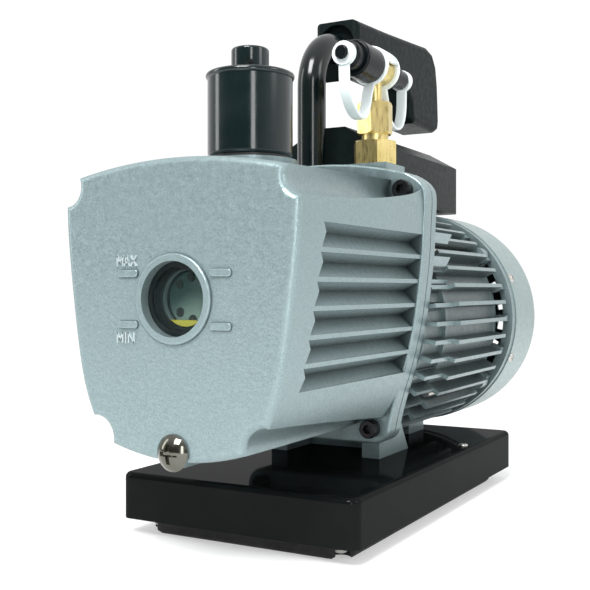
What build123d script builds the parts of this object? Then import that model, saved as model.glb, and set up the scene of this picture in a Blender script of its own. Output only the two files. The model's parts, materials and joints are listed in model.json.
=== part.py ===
from build123d import *
import math
import os

# Two-port rotary vane vacuum pump on a base tray, in millimetres, +Z up.
# The oil casing faces -Y and the fan end faces +Y. The origin is under the middle of
# the overall footprint, on the surface that the base pad stands on.

# Driving dimensions
FRONT_Y = -145.6          # front face of the oil casing
REAR_Y = 149.8            # back of the fan cover
AXIS_Z = 90.7             # height of the motor and pump axis
BASE_WIDTH = 114.0
BASE_LENGTH = 204.0
BASE_MID_Y = -5.0
PAD_HEIGHT = 7.0
BASE_TOP_Z = 27.0
FLANGE_FRONT_Y = -32.1    # casing flange, front face
FLANGE_BACK_Y = -24.5     # casing flange, gasket face
GASKET_THICKNESS = 0.8
BRACKET_FRONT_Y = FLANGE_BACK_Y + GASKET_THICKNESS
BRACKET_PLATE_Y = -17.4
MOTOR_FRONT_Y = 4.5
MOTOR_BACK_Y = 81.0
COVER_FRONT_Y = 96.0
COVER_RADIUS = 60.5
FIN_RADIUS = 59.4
HOUSING_RADIUS = 52.0
STATOR_RADIUS = 47.6
SIGHT_Z = 103.3
DRAIN_Z = 45.8
FILTER_Y = -91.4
PLATFORM_Z = 167.0        # flat top of the bracket, under the handle and the inlet
INLET_X = 18.6
INLET_Y = -5.0
TEE_Z = 215.7
HANDLE_X = -15.4
HANDLE_Y = -7.5
HANDLE_RADIUS = 7.2
HANDLE_BEND = 25.5
HANDLE_AXIS_Z = 234.6
GRIP_FRONT_Y = 20.0
BOX_TOP_Z = 190.7
BOX_BOTTOM_Z = 153.4
BOX_LEFT_X = -37.0
BOX_RIGHT_X = 13.5
BOX_FRONT_Y = 6.4
BOX_BACK_Y = 132.8
BORE_RADIUS = 26.0        # pump cylinder bore
ROTOR_RADIUS = 22.5
BORE_DROP = 3.45          # bore axis below the rotor axis
SHAFT_RADIUS = 6.0
RUNNING_GAP = 0.05
VANE_THICKNESS = 4.0
VANE_LENGTH = 15.0
PUMP_FRONT_Y = -116.0
CYLINDER_FRONT_Y = -108.0
CYLINDER_BACK_Y = -60.0
FRONT_THREAD_RADIUS = 6.35    # 1/2-16 ACME port
REAR_THREAD_RADIUS = 5.5      # 7/16-20 flare port
SCREWS_TOP = (45.5, 152.1)
SCREWS_BOTTOM = (29.3, 42.6)


def span_box(x0, x1, y0, y1, z0, z1):
    """A box between two corners."""
    middle = Pos((x0 + x1) / 2, (y0 + y1) / 2, (z0 + z1) / 2)
    return middle * Box(x1 - x0, y1 - y0, z1 - z0)


def rod_y(radius, y0, y1, x=0.0, z=AXIS_Z):
    """A cylinder along Y."""
    return Pos(x, (y0 + y1) / 2, z) * Rot(90, 0, 0) * Cylinder(radius, y1 - y0)


def rod_z(radius, z0, z1, x=0.0, y=0.0):
    """A cylinder along Z."""
    return Pos(x, y, (z0 + z1) / 2) * Cylinder(radius, z1 - z0)


def rod_x(radius, x0, x1, y=0.0, z=0.0):
    """A cylinder along X."""
    return Pos((x0 + x1) / 2, y, z) * Rot(0, 90, 0) * Cylinder(radius, x1 - x0)


def ring_y(outer, inner, y0, y1, x=0.0, z=AXIS_Z):
    """A plain ring whose axis is along Y."""
    return rod_y(outer, y0, y1, x, z) - rod_y(inner, y0 - 1, y1 + 1, x, z)


def ring_z(outer, inner, z0, z1, x=0.0, y=0.0):
    """A plain ring whose axis is along Z."""
    return rod_z(outer, z0, z1, x, y) - rod_z(inner, z0 - 1, z1 + 1, x, y)


def face_at(edges, y):
    """A flat face across Y from edges drawn as (x, z)."""
    return Plane.XZ.offset(-y) * make_face(edges)


def prism_y(points, y0, y1):
    """A prism along Y whose section is a list of (x, z) points."""
    return extrude(face_at(Polyline(*points, close=True), y1), amount=y1 - y0)


def prism_x(points, x0, x1):
    """A prism along X whose section is a list of (y, z) points."""
    section = Plane.YZ.offset(x0) * make_face(Polyline(*points, close=True))
    return extrude(section, amount=x1 - x0)


def hex_z(across_flats, z0, z1, x, y, corner_chamfer=1.0, turn=0.0):
    """A hexagonal bar along Z with its end corners turned off."""
    section = RegularPolygon(across_flats / 2, 6, major_radius=False)
    bar = Pos(x, y, z0) * Rot(0, 0, turn) * extrude(section, amount=z1 - z0)
    corner = across_flats / 2 / math.cos(math.pi / 6)
    blank = rod_z(corner, z0, z1, x, y)
    return bar & chamfer(blank.edges().filter_by(GeomType.CIRCLE), corner_chamfer)


def mirrored(shape):
    """The shape's mirror image across the middle plane X = 0."""
    return mirror(shape, about=Plane.YZ)


def group(shapes):
    """Separate solids kept together in one node."""
    solids = []
    for shape in shapes:
        solids.extend(shape.solids())
    return Compound(children=solids)


def socket_screw(head_radius, head_length, shank_radius, shank_length, hex_size):
    """A socket head cap screw: its head is above Z = 0 and its shank below."""
    head = rod_z(head_radius, 0, head_length)
    head = chamfer(head.edges().filter_by(GeomType.CIRCLE).group_by(Axis.Z)[-1], 0.5)
    pocket = extrude(RegularPolygon(hex_size / 2, 6, major_radius=False), amount=head_length)
    head = head - Pos(0, 0, head_length * 0.45) * pocket
    return head + rod_z(shank_radius, -shank_length, 0)


def pan_screw(head_radius, head_length, shank_radius, shank_length):
    """A domed screw with a cross recess: its head is above Z = 0."""
    sphere_radius = (head_radius ** 2 + head_length ** 2) / (2 * head_length)
    dome = Pos(0, 0, head_length - sphere_radius) * Sphere(sphere_radius)
    head = dome & rod_z(head_radius, 0, head_length)
    slot_width = head_radius * 0.24
    slot_length = head_radius * 1.1
    depth = head_length * 0.55
    for width, length in ((slot_width, slot_length), (slot_length, slot_width)):
        head = head - Pos(0, 0, head_length) * Box(width, length, 2 * depth)
    return head + rod_z(shank_radius, -shank_length, 0)


nodes = {}

# ---------------------------------------------------------------- base
BASE_WALL = 2.5
LIP_WIDTH = 16.5
base_blank = span_box(
    -BASE_WIDTH / 2, BASE_WIDTH / 2,
    BASE_MID_Y - BASE_LENGTH / 2, BASE_MID_Y + BASE_LENGTH / 2,
    PAD_HEIGHT, BASE_TOP_Z,
)
base_blank = fillet(base_blank.edges().filter_by(Axis.Z), 5.0)
base_blank = fillet(base_blank.edges().group_by(Axis.Z)[-1], 2.4)
base_hollow = span_box(
    -BASE_WIDTH / 2 + BASE_WALL, BASE_WIDTH / 2 - BASE_WALL,
    BASE_MID_Y - BASE_LENGTH / 2 + BASE_WALL, BASE_MID_Y + BASE_LENGTH / 2 - BASE_WALL,
    PAD_HEIGHT + BASE_WALL, BASE_TOP_Z - BASE_WALL,
)
base_hollow = fillet(base_hollow.edges().filter_by(Axis.Z), 2.6)
base_mouth = span_box(
    -BASE_WIDTH / 2 + LIP_WIDTH, BASE_WIDTH / 2 - LIP_WIDTH,
    BASE_MID_Y - BASE_LENGTH / 2 + LIP_WIDTH, BASE_MID_Y + BASE_LENGTH / 2 - LIP_WIDTH,
    PAD_HEIGHT - 1, PAD_HEIGHT + BASE_WALL + 1,
)
base_tray = base_blank - base_hollow - base_mouth

PAD_INSET = 8.0
PAD_SCREW_X = BASE_WIDTH / 2 - 13.0
PAD_SCREW_Y = BASE_LENGTH / 2 - 13.0
pad_screw_spots = [
    (sx * PAD_SCREW_X, BASE_MID_Y + sy * PAD_SCREW_Y) for sx in (-1, 1) for sy in (-1, 1)
]
base_pad = span_box(
    -BASE_WIDTH / 2 + PAD_INSET, BASE_WIDTH / 2 - PAD_INSET,
    BASE_MID_Y - BASE_LENGTH / 2 + PAD_INSET, BASE_MID_Y + BASE_LENGTH / 2 - PAD_INSET,
    0, PAD_HEIGHT,
)
base_pad = fillet(base_pad.edges().filter_by(Axis.Z), 9.0)
base_pad = chamfer(base_pad.edges().group_by(Axis.Z)[0], 1.2)
pad_screws = []
for x, y in pad_screw_spots:
    base_pad = base_pad - rod_z(4.2, -1, 4.0, x, y) - rod_z(2.0, 0, 8, x, y)
    base_tray = base_tray - rod_z(1.9, 5, 11, x, y)
    screw = Rot(180, 0, 0) * pan_screw(3.8, 2.2, 1.9, 8.0)
    pad_screws.append(Pos(x, y, 4.0) * screw)

BRACKET_BOLT_Y = (-15.0, -2.0)
BRACKET_BOLT_X = 24.9
bracket_bolt_spots = [(sx * BRACKET_BOLT_X, y) for sx in (-1, 1) for y in BRACKET_BOLT_Y]
RIVET_SPOTS = [(51.3, 31.8), (-51.3, 31.8)]
base_rivets = []
for x, y in RIVET_SPOTS:
    base_tray = base_tray - rod_z(1.5, BASE_TOP_Z - 4, BASE_TOP_Z + 1, x, y)
    head = rod_z(2.4, BASE_TOP_Z, BASE_TOP_Z + 1.1, x, y)
    head = fillet(head.edges().group_by(Axis.Z)[-1], 0.8)
    base_rivets.append(head + rod_z(1.5, BASE_TOP_Z - 2.4, BASE_TOP_Z, x, y))
for x, y in bracket_bolt_spots:
    base_tray = base_tray - rod_z(3.05, BASE_TOP_Z - 4, BASE_TOP_Z + 1, x, y)
nodes["base_pad"] = base_pad
nodes["base_tray"] = base_tray
nodes["pad_screws"] = group(pad_screws)
nodes["base_rivets"] = group(base_rivets)

# ---------------------------------------------------------------- oil casing
# Half-width of the casing wall at a few heights, from the bottom up.
WALL_PROFILE = [
    (34.5, 48.2), (38.5, 54.5), (44.0, 67.0), (47.8, 84.0), (51.0, 107.0), (53.2, 128.0), (53.8, 146.0),
]


def wall_x(z):
    """Half-width of the casing's side wall at height z."""
    for (xa, za), (xb, zb) in zip(WALL_PROFILE, WALL_PROFILE[1:]):
        if z <= zb:
            return xa + (xb - xa) * (z - za) / (zb - za)
    return WALL_PROFILE[-1][0]


def casing_section(y, side_in, top_in, bottom_in, top_rise=0.0, flare=0.0):
    """The casing's outline across Y: side_in, top_in and bottom_in pull it inwards."""
    side = [(x - side_in + flare, z) for x, z in WALL_PROFILE]
    side[0] = (side[0][0], side[0][1] + bottom_in)
    side[-1] = (side[-1][0], side[-1][1] - top_in)
    corner_x = side[-1][0] - 1.0
    corner_z = 149.9 - top_in + top_rise
    bottom_x, bottom_z = side[0]
    left = [(-x, z) for x, z in side]
    edges = [
        Spline(*side),
        Line(side[-1], (corner_x, corner_z)),
        ThreePointArc((corner_x, corner_z), (0, 156.5 - top_in + top_rise), (-corner_x, corner_z)),
        Line((-corner_x, corner_z), left[-1]),
        Spline(*left),
        ThreePointArc((-bottom_x, bottom_z), (0, 42.0 + bottom_in), (bottom_x, bottom_z)),
    ]
    return face_at(edges, y)


FRONT_ROUND = 3.0
casing_body = loft([
    casing_section(FRONT_Y, 0, 0, 0),
    casing_section(FLANGE_FRONT_Y + 1, 0, 0, 0, top_rise=4.0, flare=0.8),
], ruled=True)

# Hollow corner grooves that run back to the four flange screws
groove_top = loft([
    Plane.XZ.offset(-(FRONT_Y - 1)) * Pos(54.5, 147.5) * Circle(7.5),
    Plane.XZ.offset(-FLANGE_FRONT_Y) * Pos(*SCREWS_TOP) * Circle(8.2),
], ruled=True)
groove_bottom = loft([
    Plane.XZ.offset(-(FRONT_Y - 1)) * Pos(39.3, 48.6) * Circle(8.8),
    Plane.XZ.offset(-FLANGE_FRONT_Y) * Pos(*SCREWS_BOTTOM) * Circle(8.2),
], ruled=True)
for groove in (groove_top, groove_bottom):
    casing_body = casing_body - groove - mirrored(groove)
front_edges = casing_body.faces().sort_by(Axis.Y)[0].outer_wire().edges()
casing_body = fillet(front_edges, FRONT_ROUND)

# Cooling grooves down each side, one under each rib, that run back to the flange
RIB_TOPS = [133.4, 122.4, 111.5, 100.8, 90.2, 79.7, 69.2]
RIB_PITCH = 10.6
RIB_LAND = 1.8            # straight face at the edge of each rib
RIB_DEPTH = 5.6
RIB_FRONT_Y = -127.0
RIB_FRONT_STEP = 0.6      # each lower groove starts a little further forward
RIB_FRONT_RUN = 2.4       # how far the groove's front end leans back at mid height
for index, top in enumerate(RIB_TOPS[:-1]):
    low = RIB_TOPS[index + 1]
    upper = top - RIB_LAND
    valley = top - RIB_PITCH / 2
    front = RIB_FRONT_Y - RIB_FRONT_STEP * index
    outside = wall_x(top) + 3
    groove_section = [
        (outside, upper), (wall_x(upper), upper), (wall_x(valley) - RIB_DEPTH, valley),
        (wall_x(low) + 0.1, low), (outside, low),
    ]
    cutter = prism_y(groove_section, front, FLANGE_FRONT_Y + 0.5)
    nose = [
        (front - 1, upper + 1), (front, upper), (front + RIB_FRONT_RUN, valley), (front, low), (front - 1, low - 1),
    ]
    cutter = cutter - prism_x(nose, wall_x(valley) - RIB_DEPTH - 2, outside + 1)
    casing_body = casing_body - cutter - mirrored(cutter)

# Flange outline, from the top middle down the right side
flange_side = [
    (46.0, 160.0), (50.0, 157.8), (53.4, 155.0), (55.3, 151.8), (55.8, 148.0), (55.4, 138.0), (54.9, 126.0),
    (53.4, 110.0), (51.2, 94.0), (48.3, 80.0), (44.7, 67.0), (41.7, 57.5), (39.3, 49.0), (38.0, 43.0),
]


def flange_plate(y0, y1, grow=0.0):
    """The flange plate shared by the casing, the gasket and the bracket."""
    side = [(x + grow, z) for x, z in flange_side]
    left = [(-x, z) for x, z in side]
    low_x, low_z = side[-1]
    edges = [
        Spline(*side),
        ThreePointArc((low_x, low_z), (low_x - 2.5, low_z - 5.4), (low_x - 8.5, low_z - 7.6)),
        Line((low_x - 8.5, low_z - 7.6), (-low_x + 8.5, low_z - 7.6)),
        ThreePointArc((-low_x + 8.5, low_z - 7.6), (-low_x + 2.5, low_z - 5.4), (-low_x, low_z)),
        Spline(*left),
        ThreePointArc(left[0], (0, 166.2 + grow), side[0]),
    ]
    return extrude(face_at(edges, y1), amount=y1 - y0)


casing_flange = flange_plate(FLANGE_FRONT_Y, FLANGE_BACK_Y)
casing_flange = fillet(casing_flange.faces().sort_by(Axis.Y)[0].outer_wire().edges(), 1.0)
CASING_WALL = 3.6
casing_hollow = loft([
    casing_section(FRONT_Y + CASING_WALL, 9.4, 4.2, 4.2),
    casing_section(FLANGE_BACK_Y + 1, 9.4, 4.2, 4.2, top_rise=3.0),
], ruled=True)
corner_lane = loft([
    Plane.XZ.offset(-FRONT_Y) * Pos(54.5, 147.5) * Circle(11.0),
    Plane.XZ.offset(-(FLANGE_BACK_Y + 2)) * Pos(*SCREWS_TOP) * Circle(11.5),
], ruled=True)
low_lane = loft([
    Plane.XZ.offset(-FRONT_Y) * Pos(39.3, 48.6) * Circle(12.3),
    Plane.XZ.offset(-(FLANGE_BACK_Y + 2)) * Pos(*SCREWS_BOTTOM) * Circle(11.5),
], ruled=True)
for lane in (corner_lane, low_lane):
    casing_hollow = casing_hollow - lane - mirrored(lane)
FILTER_THREAD_RADIUS = 11.0
FILTER_SEAT_Z = 161.0
FILTER_BOSS_RADIUS = 20.0
SIGHT_RING_RADIUS = 17.2
SIGHT_BORE_RADIUS = 14.3
SIGHT_SEAT_Y = -137.4
filter_boss = rod_z(FILTER_BOSS_RADIUS, 150, FILTER_SEAT_Z, 0, FILTER_Y)
sight_boss = rod_y(SIGHT_RING_RADIUS, FRONT_Y - 1.3, SIGHT_SEAT_Y + 2.4, 0, SIGHT_Z)
sight_boss = fillet(sight_boss.faces().sort_by(Axis.Y)[0].outer_wire().edges(), 0.9)
drain_boss = rod_y(6.4, FRONT_Y + 0.4, FRONT_Y + 16, 0, DRAIN_Z)
oil_casing = casing_body + casing_flange - casing_hollow
oil_casing = oil_casing + filter_boss + sight_boss + drain_boss
oil_casing = oil_casing - rod_z(FILTER_THREAD_RADIUS, 140, FILTER_SEAT_Z + 1, 0, FILTER_Y)
oil_casing = oil_casing - rod_y(11.0, FRONT_Y - 3, SIGHT_SEAT_Y + 4, 0, SIGHT_Z)
oil_casing = oil_casing - rod_y(SIGHT_BORE_RADIUS, FRONT_Y - 3, SIGHT_SEAT_Y, 0, SIGHT_Z)
DRAIN_THREAD_RADIUS = 4.0
oil_casing = oil_casing - rod_y(DRAIN_THREAD_RADIUS + RUNNING_GAP, FRONT_Y - 1, FRONT_Y + 17, 0, DRAIN_Z)

# Raised level bars on each side of the sight glass
BAR_RAISE = 1.0
BAR_LENGTH = 9.5
BAR_WIDTH = 3.0
LEVEL_BARS = [(21.2, 113.0), (21.2, 93.4), (-21.2, 113.0), (-21.2, 93.4)]
for x, z in LEVEL_BARS:
    bar = span_box(
        x - BAR_LENGTH / 2, x + BAR_LENGTH / 2, FRONT_Y - BAR_RAISE, FRONT_Y + 0.5, z - BAR_WIDTH / 2, z + BAR_WIDTH / 2,
    )
    bar = fillet(bar.edges().filter_by(Axis.Y), 1.3)
    bar = fillet(bar.faces().sort_by(Axis.Y)[0].outer_wire().edges(), 0.6)
    oil_casing = oil_casing + bar
CASING_SCREW_RADIUS = 2.5
casing_screw_spots = [
    SCREWS_TOP, (-SCREWS_TOP[0], SCREWS_TOP[1]), SCREWS_BOTTOM, (-SCREWS_BOTTOM[0], SCREWS_BOTTOM[1]),
]
for x, z in casing_screw_spots:
    oil_casing = oil_casing - rod_y(CASING_SCREW_RADIUS, FLANGE_FRONT_Y - 2, FLANGE_BACK_Y + 2, x, z)
    oil_casing = oil_casing - rod_y(5.6, FLANGE_FRONT_Y - 12, FLANGE_FRONT_Y, x, z)
nodes["oil_casing"] = oil_casing


# ---------------------------------------------------------------- gasket, bracket, casing screws
window = extrude(casing_section(BRACKET_FRONT_Y + 1, 9.0, 4.0, 4.0, top_rise=3.0), amount=4)
for x, z in (SCREWS_TOP, SCREWS_BOTTOM):
    pad = rod_y(10.5, FLANGE_BACK_Y - 4, BRACKET_FRONT_Y + 2, x, z)
    window = window - pad - mirrored(pad)
casing_gasket = flange_plate(FLANGE_BACK_Y, BRACKET_FRONT_Y, grow=-0.3) - window
for x, z in casing_screw_spots:
    casing_gasket = casing_gasket - rod_y(CASING_SCREW_RADIUS + 0.3, -40, -10, x, z)
nodes["casing_gasket"] = casing_gasket

BELL_RADIUS = 50.0
FOOT_HALF_WIDTH = 29.4
FLANGE_BOTTOM_Z = flange_side[-1][1] - 7.6
bracket = flange_plate(BRACKET_FRONT_Y, BRACKET_PLATE_Y)
bracket = fillet(bracket.faces().sort_by(Axis.Y)[-1].outer_wire().edges(), 1.2)
BELL_FIN_RADIUS = 56.0
FIN_COUNT = 40
FIN_THICKNESS = 2.0


def finned_section(core_radius, fin_radius):
    """A disc with radial fins, drawn flat."""
    section = Circle(core_radius)
    for index in range(FIN_COUNT):
        fin = Pos((core_radius + fin_radius) / 2 - 1, 0) * Rectangle(fin_radius - core_radius + 2, FIN_THICKNESS)
        section = section + Rot(0, 0, 360.0 / FIN_COUNT * index) * fin
    return section


bell_plane = Plane(origin=(0, MOTOR_FRONT_Y, AXIS_Z), x_dir=(1, 0, 0), z_dir=(0, -1, 0))
bell_length = MOTOR_FRONT_Y - BRACKET_PLATE_Y + 1
bracket = bracket + extrude(bell_plane * finned_section(BELL_RADIUS, BELL_FIN_RADIUS), amount=bell_length)
leg_points = [
    (BRACKET_FRONT_Y, BASE_TOP_Z), (11.6, BASE_TOP_Z), (1.6, 42.5), (-2.5, 62.0), (BRACKET_FRONT_Y, 62.0),
]
LEG_WEB = 9.0
LEG_BACK_Y = 1.0
leg_half = FOOT_HALF_WIDTH - LEG_WEB
leg_pocket = span_box(-leg_half, leg_half, BRACKET_PLATE_Y, LEG_BACK_Y, BASE_TOP_Z - 1, 58)
leg_mouth = span_box(-leg_half, leg_half, BRACKET_FRONT_Y - 1, LEG_BACK_Y, BASE_TOP_Z - 1, FLANGE_BOTTOM_Z)
bracket = bracket + prism_x(leg_points, -FOOT_HALF_WIDTH, FOOT_HALF_WIDTH) - leg_pocket - leg_mouth
platform = span_box(-32, 32, BRACKET_FRONT_Y + 2, MOTOR_FRONT_Y, 120, PLATFORM_Z)
platform = fillet(platform.edges().filter_by(Axis.Z).sort_by(Axis.Y)[-2:], 5.0)
bracket = bracket + platform
for top in RIB_TOPS:
    reach = wall_x(top) + 1.6
    stub_section = [(30, top), (reach, top), (reach - 2.2, top - 4.6), (30, top - 4.6)]
    stub = prism_y(stub_section, BRACKET_PLATE_Y - 1, MOTOR_FRONT_Y)
    bracket = bracket + stub + mirrored(stub)
BEARING_RADIUS = 14.0
FRONT_BEARING_Y = -11.0
SHAFT_HOLE_RADIUS = 9.0
bracket = bracket - rod_y(BEARING_RADIUS, FRONT_BEARING_Y, MOTOR_FRONT_Y + 1)
bracket = bracket - rod_y(SHAFT_HOLE_RADIUS, BRACKET_FRONT_Y - 1, FRONT_BEARING_Y + 1)
for x, z in casing_screw_spots:
    bracket = bracket - rod_y(CASING_SCREW_RADIUS, BRACKET_FRONT_Y - 1, BRACKET_FRONT_Y + 9, x, z)
for x, y in bracket_bolt_spots:
    bracket = bracket - rod_z(2.5, BASE_TOP_Z - 1, BASE_TOP_Z + 12, x, y)
HANDLE_SOCKET_Z = PLATFORM_Z - 12.0
bracket = bracket - rod_z(HANDLE_RADIUS, HANDLE_SOCKET_Z, PLATFORM_Z + 1, HANDLE_X, HANDLE_Y)
PORT_BORE_Z = PLATFORM_Z - 11.0
bracket = bracket - rod_z(5.0, PORT_BORE_Z, PLATFORM_Z + 1, INLET_X, INLET_Y)
bracket = bracket - rod_z(2.5, 128, PORT_BORE_Z + 1, INLET_X, INLET_Y)
bracket = bracket - rod_y(2.2, BRACKET_FRONT_Y - 1, INLET_Y + 0.5, INLET_X, 132.0)
nodes["pump_bracket"] = bracket

casing_screws = []
for x, z in casing_screw_spots:
    screw = Rot(90, 0, 0) * socket_screw(4.3, 5.0, CASING_SCREW_RADIUS, 16.0, 4.0)
    casing_screws.append(Pos(x, FLANGE_FRONT_Y, z) * screw)
nodes["casing_screws"] = group(casing_screws)
bracket_bolts = []
for x, y in bracket_bolt_spots:
    head = hex_z(8.0, BASE_TOP_Z - BASE_WALL - 3.6, BASE_TOP_Z - BASE_WALL, x, y, 0.5)
    bracket_bolts.append(head + rod_z(2.5, BASE_TOP_Z - BASE_WALL, BASE_TOP_Z + 11, x, y))
nodes["bracket_bolts"] = group(bracket_bolts)

# ---------------------------------------------------------------- sight glass
SEAL_THICKNESS = 1.2
GLASS_THICKNESS = 3.0
glass_back = SIGHT_SEAT_Y - SEAL_THICKNESS
glass_front = glass_back - GLASS_THICKNESS
nodes["sight_seal"] = ring_y(SIGHT_BORE_RADIUS, 11.0, glass_back, SIGHT_SEAT_Y, 0, SIGHT_Z)
sight_glass = rod_y(SIGHT_BORE_RADIUS, glass_front, glass_back, 0, SIGHT_Z)
nodes["sight_glass"] = chamfer(sight_glass.edges().filter_by(GeomType.CIRCLE), 0.3)
nodes["sight_ring"] = ring_y(SIGHT_BORE_RADIUS, 12.2, glass_front - 1.0, glass_front, 0, SIGHT_Z)

# ---------------------------------------------------------------- drain plug
DRAIN_HEAD_RADIUS = 7.0
DRAIN_SEAL_THICKNESS = 0.8
nodes["drain_seal"] = ring_y(
    6.2, DRAIN_THREAD_RADIUS + RUNNING_GAP, FRONT_Y - DRAIN_SEAL_THICKNESS, FRONT_Y, 0, DRAIN_Z,
)
DRAIN_HEAD_LENGTH = REAR_Y + FRONT_Y - DRAIN_SEAL_THICKNESS
drain_plug = Rot(90, 0, 0) * pan_screw(DRAIN_HEAD_RADIUS, DRAIN_HEAD_LENGTH, DRAIN_THREAD_RADIUS, 12.0)
nodes["drain_plug"] = Pos(0, FRONT_Y - DRAIN_SEAL_THICKNESS, DRAIN_Z) * drain_plug

# ---------------------------------------------------------------- exhaust filter
CAN_RADIUS = 18.0
CAN_TOP_Z = 198.6
CAN_SEAL = 1.5
can_floor_z = FILTER_SEAT_Z + CAN_SEAL
nodes["filter_seal"] = ring_z(17.0, FILTER_THREAD_RADIUS + RUNNING_GAP, FILTER_SEAT_Z, can_floor_z, 0, FILTER_Y)
can = rod_z(CAN_RADIUS, can_floor_z, CAN_TOP_Z - 2.0, 0, FILTER_Y)
can = fillet(can.edges().filter_by(GeomType.CIRCLE).group_by(Axis.Z)[0], 1.5)
rolled_rim = Pos(0, FILTER_Y, CAN_TOP_Z - 2.2) * Torus(CAN_RADIUS - 0.6, 1.4)
lid = rod_z(CAN_RADIUS - 2.0, CAN_TOP_Z - 5.0, CAN_TOP_Z - 0.4, 0, FILTER_Y)
spigot = rod_z(FILTER_THREAD_RADIUS - RUNNING_GAP, FILTER_SEAT_Z - 10, can_floor_z + 1, 0, FILTER_Y)
can = can - rod_z(CAN_RADIUS - 1.2, can_floor_z + 1.5, CAN_TOP_Z - 4.0, 0, FILTER_Y)
can = can + rolled_rim + lid + spigot
OUTLET_RADIUS = 5.0
can = can + rod_z(OUTLET_RADIUS, CAN_TOP_Z - 1, CAN_TOP_Z + 8.0, 0, FILTER_Y)
can = can - rod_z(3.2, CAN_TOP_Z - 6, CAN_TOP_Z + 9, 0, FILTER_Y)
can = can - rod_z(8.0, FILTER_SEAT_Z - 12, can_floor_z + 2, 0, FILTER_Y)
nodes["filter_can"] = can
element_top_z = CAN_TOP_Z - 8.0
element = ring_z(15.0, 8.5, can_floor_z + 1.5, element_top_z, 0, FILTER_Y)
nodes["filter_element"] = element + rod_z(15.0, element_top_z, element_top_z + 2.0, 0, FILTER_Y)
CAP_RADIUS = 8.0
CAP_TOP_Z = 208.4
exhaust_cap = rod_z(CAP_RADIUS, CAN_TOP_Z + 1.0, CAP_TOP_Z, 0, FILTER_Y)
exhaust_cap = fillet(exhaust_cap.edges().filter_by(GeomType.CIRCLE).group_by(Axis.Z)[-1], 1.2)
exhaust_cap = exhaust_cap - rod_z(OUTLET_RADIUS + RUNNING_GAP, CAN_TOP_Z, CAN_TOP_Z + 8.2, 0, FILTER_Y)
for angle in (-60, 60, 180):
    notch = Pos(0, FILTER_Y, CAN_TOP_Z + 2.2) * Rot(0, 0, angle) * Pos(CAP_RADIUS, 0, 0) * Box(5, 2.6, 3.2)
    exhaust_cap = exhaust_cap - notch
nodes["exhaust_cap"] = exhaust_cap

# ---------------------------------------------------------------- pump module inside the casing
BORE_Z = AXIS_Z - BORE_DROP
BLOCK_RADIUS = 32.0
VALVE_DECK_Z = 125.0
VALVE_Y = -84.0
PORT_X = 14.0
journal_hole = SHAFT_RADIUS + RUNNING_GAP


def pump_block(y0, y1):
    """Outer shape of the pump's cylinder and end plates."""
    block = rod_y(BLOCK_RADIUS, y0, y1, 0, BORE_Z)
    return block + span_box(-24, 24, y0, y1, BORE_Z, VALVE_DECK_Z)


PLATE_SCREW_SPOTS = [(20, 118), (-20, 118), (-24, 70), (24, 70)]
cylinder = pump_block(CYLINDER_FRONT_Y, CYLINDER_BACK_Y)
cylinder = cylinder - rod_y(BORE_RADIUS, CYLINDER_FRONT_Y - 1, CYLINDER_BACK_Y + 1, 0, BORE_Z)
cylinder = cylinder - rod_z(2.5, BORE_Z + 15, VALVE_DECK_Z + 1, PORT_X, VALVE_Y)
front_plate = pump_block(PUMP_FRONT_Y, CYLINDER_FRONT_Y)
front_plate = front_plate - rod_y(journal_hole, CYLINDER_FRONT_Y - 6, CYLINDER_FRONT_Y + 1)
rear_block = pump_block(CYLINDER_BACK_Y, FLANGE_BACK_Y - 4)
rear_block = rear_block + rod_y(30.0, FLANGE_BACK_Y - 5, BRACKET_FRONT_Y)
rear_block = rear_block - rod_y(journal_hole, CYLINDER_BACK_Y - 1, BRACKET_FRONT_Y + 1)
SHAFT_SEAL_RADIUS = 10.0
rear_block = rear_block - rod_y(SHAFT_SEAL_RADIUS, BRACKET_FRONT_Y - 7, BRACKET_FRONT_Y + 1)
rear_block = rear_block - rod_y(2.5, CYLINDER_BACK_Y - 1, -40, -10, 106)
plate_screws = []
for x, z in PLATE_SCREW_SPOTS:
    front_plate = front_plate - rod_y(2.5, PUMP_FRONT_Y - 1, CYLINDER_FRONT_Y + 1, x, z)
    cylinder = cylinder - rod_y(2.5, CYLINDER_FRONT_Y - 1, CYLINDER_BACK_Y + 1, x, z)
    rear_block = rear_block - rod_y(2.5, CYLINDER_BACK_Y - 1, CYLINDER_BACK_Y + 12, x, z)
    screw = Rot(90, 0, 0) * socket_screw(4.3, 5.0, 2.5, 66.0, 4.0)
    plate_screws.append(Pos(x, PUMP_FRONT_Y, z) * screw)
nodes["pump_cylinder"] = cylinder
nodes["front_plate"] = front_plate
nodes["rear_block"] = rear_block
nodes["plate_screws"] = group(plate_screws)
nodes["shaft_seal"] = ring_y(
    SHAFT_SEAL_RADIUS, SHAFT_RADIUS + RUNNING_GAP, BRACKET_FRONT_Y - 7, BRACKET_FRONT_Y,
)

ROTOR_FRONT_Y = CYLINDER_FRONT_Y + 0.05
ROTOR_BACK_Y = CYLINDER_BACK_Y - 0.05
rotor = rod_y(ROTOR_RADIUS, ROTOR_FRONT_Y, ROTOR_BACK_Y)
SLOT_FLOOR_X = 6.4
for side in (-1, 1):
    slot = span_box(
        min(side * SLOT_FLOOR_X, side * 30), max(side * SLOT_FLOOR_X, side * 30),
        ROTOR_FRONT_Y - 1, ROTOR_BACK_Y + 1,
        AXIS_Z - VANE_THICKNESS / 2 - RUNNING_GAP, AXIS_Z + VANE_THICKNESS / 2 + RUNNING_GAP,
    )
    rotor = rotor - slot
SPRING_SPOTS = (-96.0, -72.0)
SPRING_RADIUS = 1.7
for y in SPRING_SPOTS:
    rotor = rotor - rod_x(SPRING_RADIUS + 0.1, -SLOT_FLOOR_X - 1, SLOT_FLOOR_X + 1, y, AXIS_Z)
rotor = rotor + rod_y(SHAFT_RADIUS, ROTOR_FRONT_Y - 5.5, ROTOR_FRONT_Y)
COUPLING_FRONT_Y = -16.0
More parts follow.
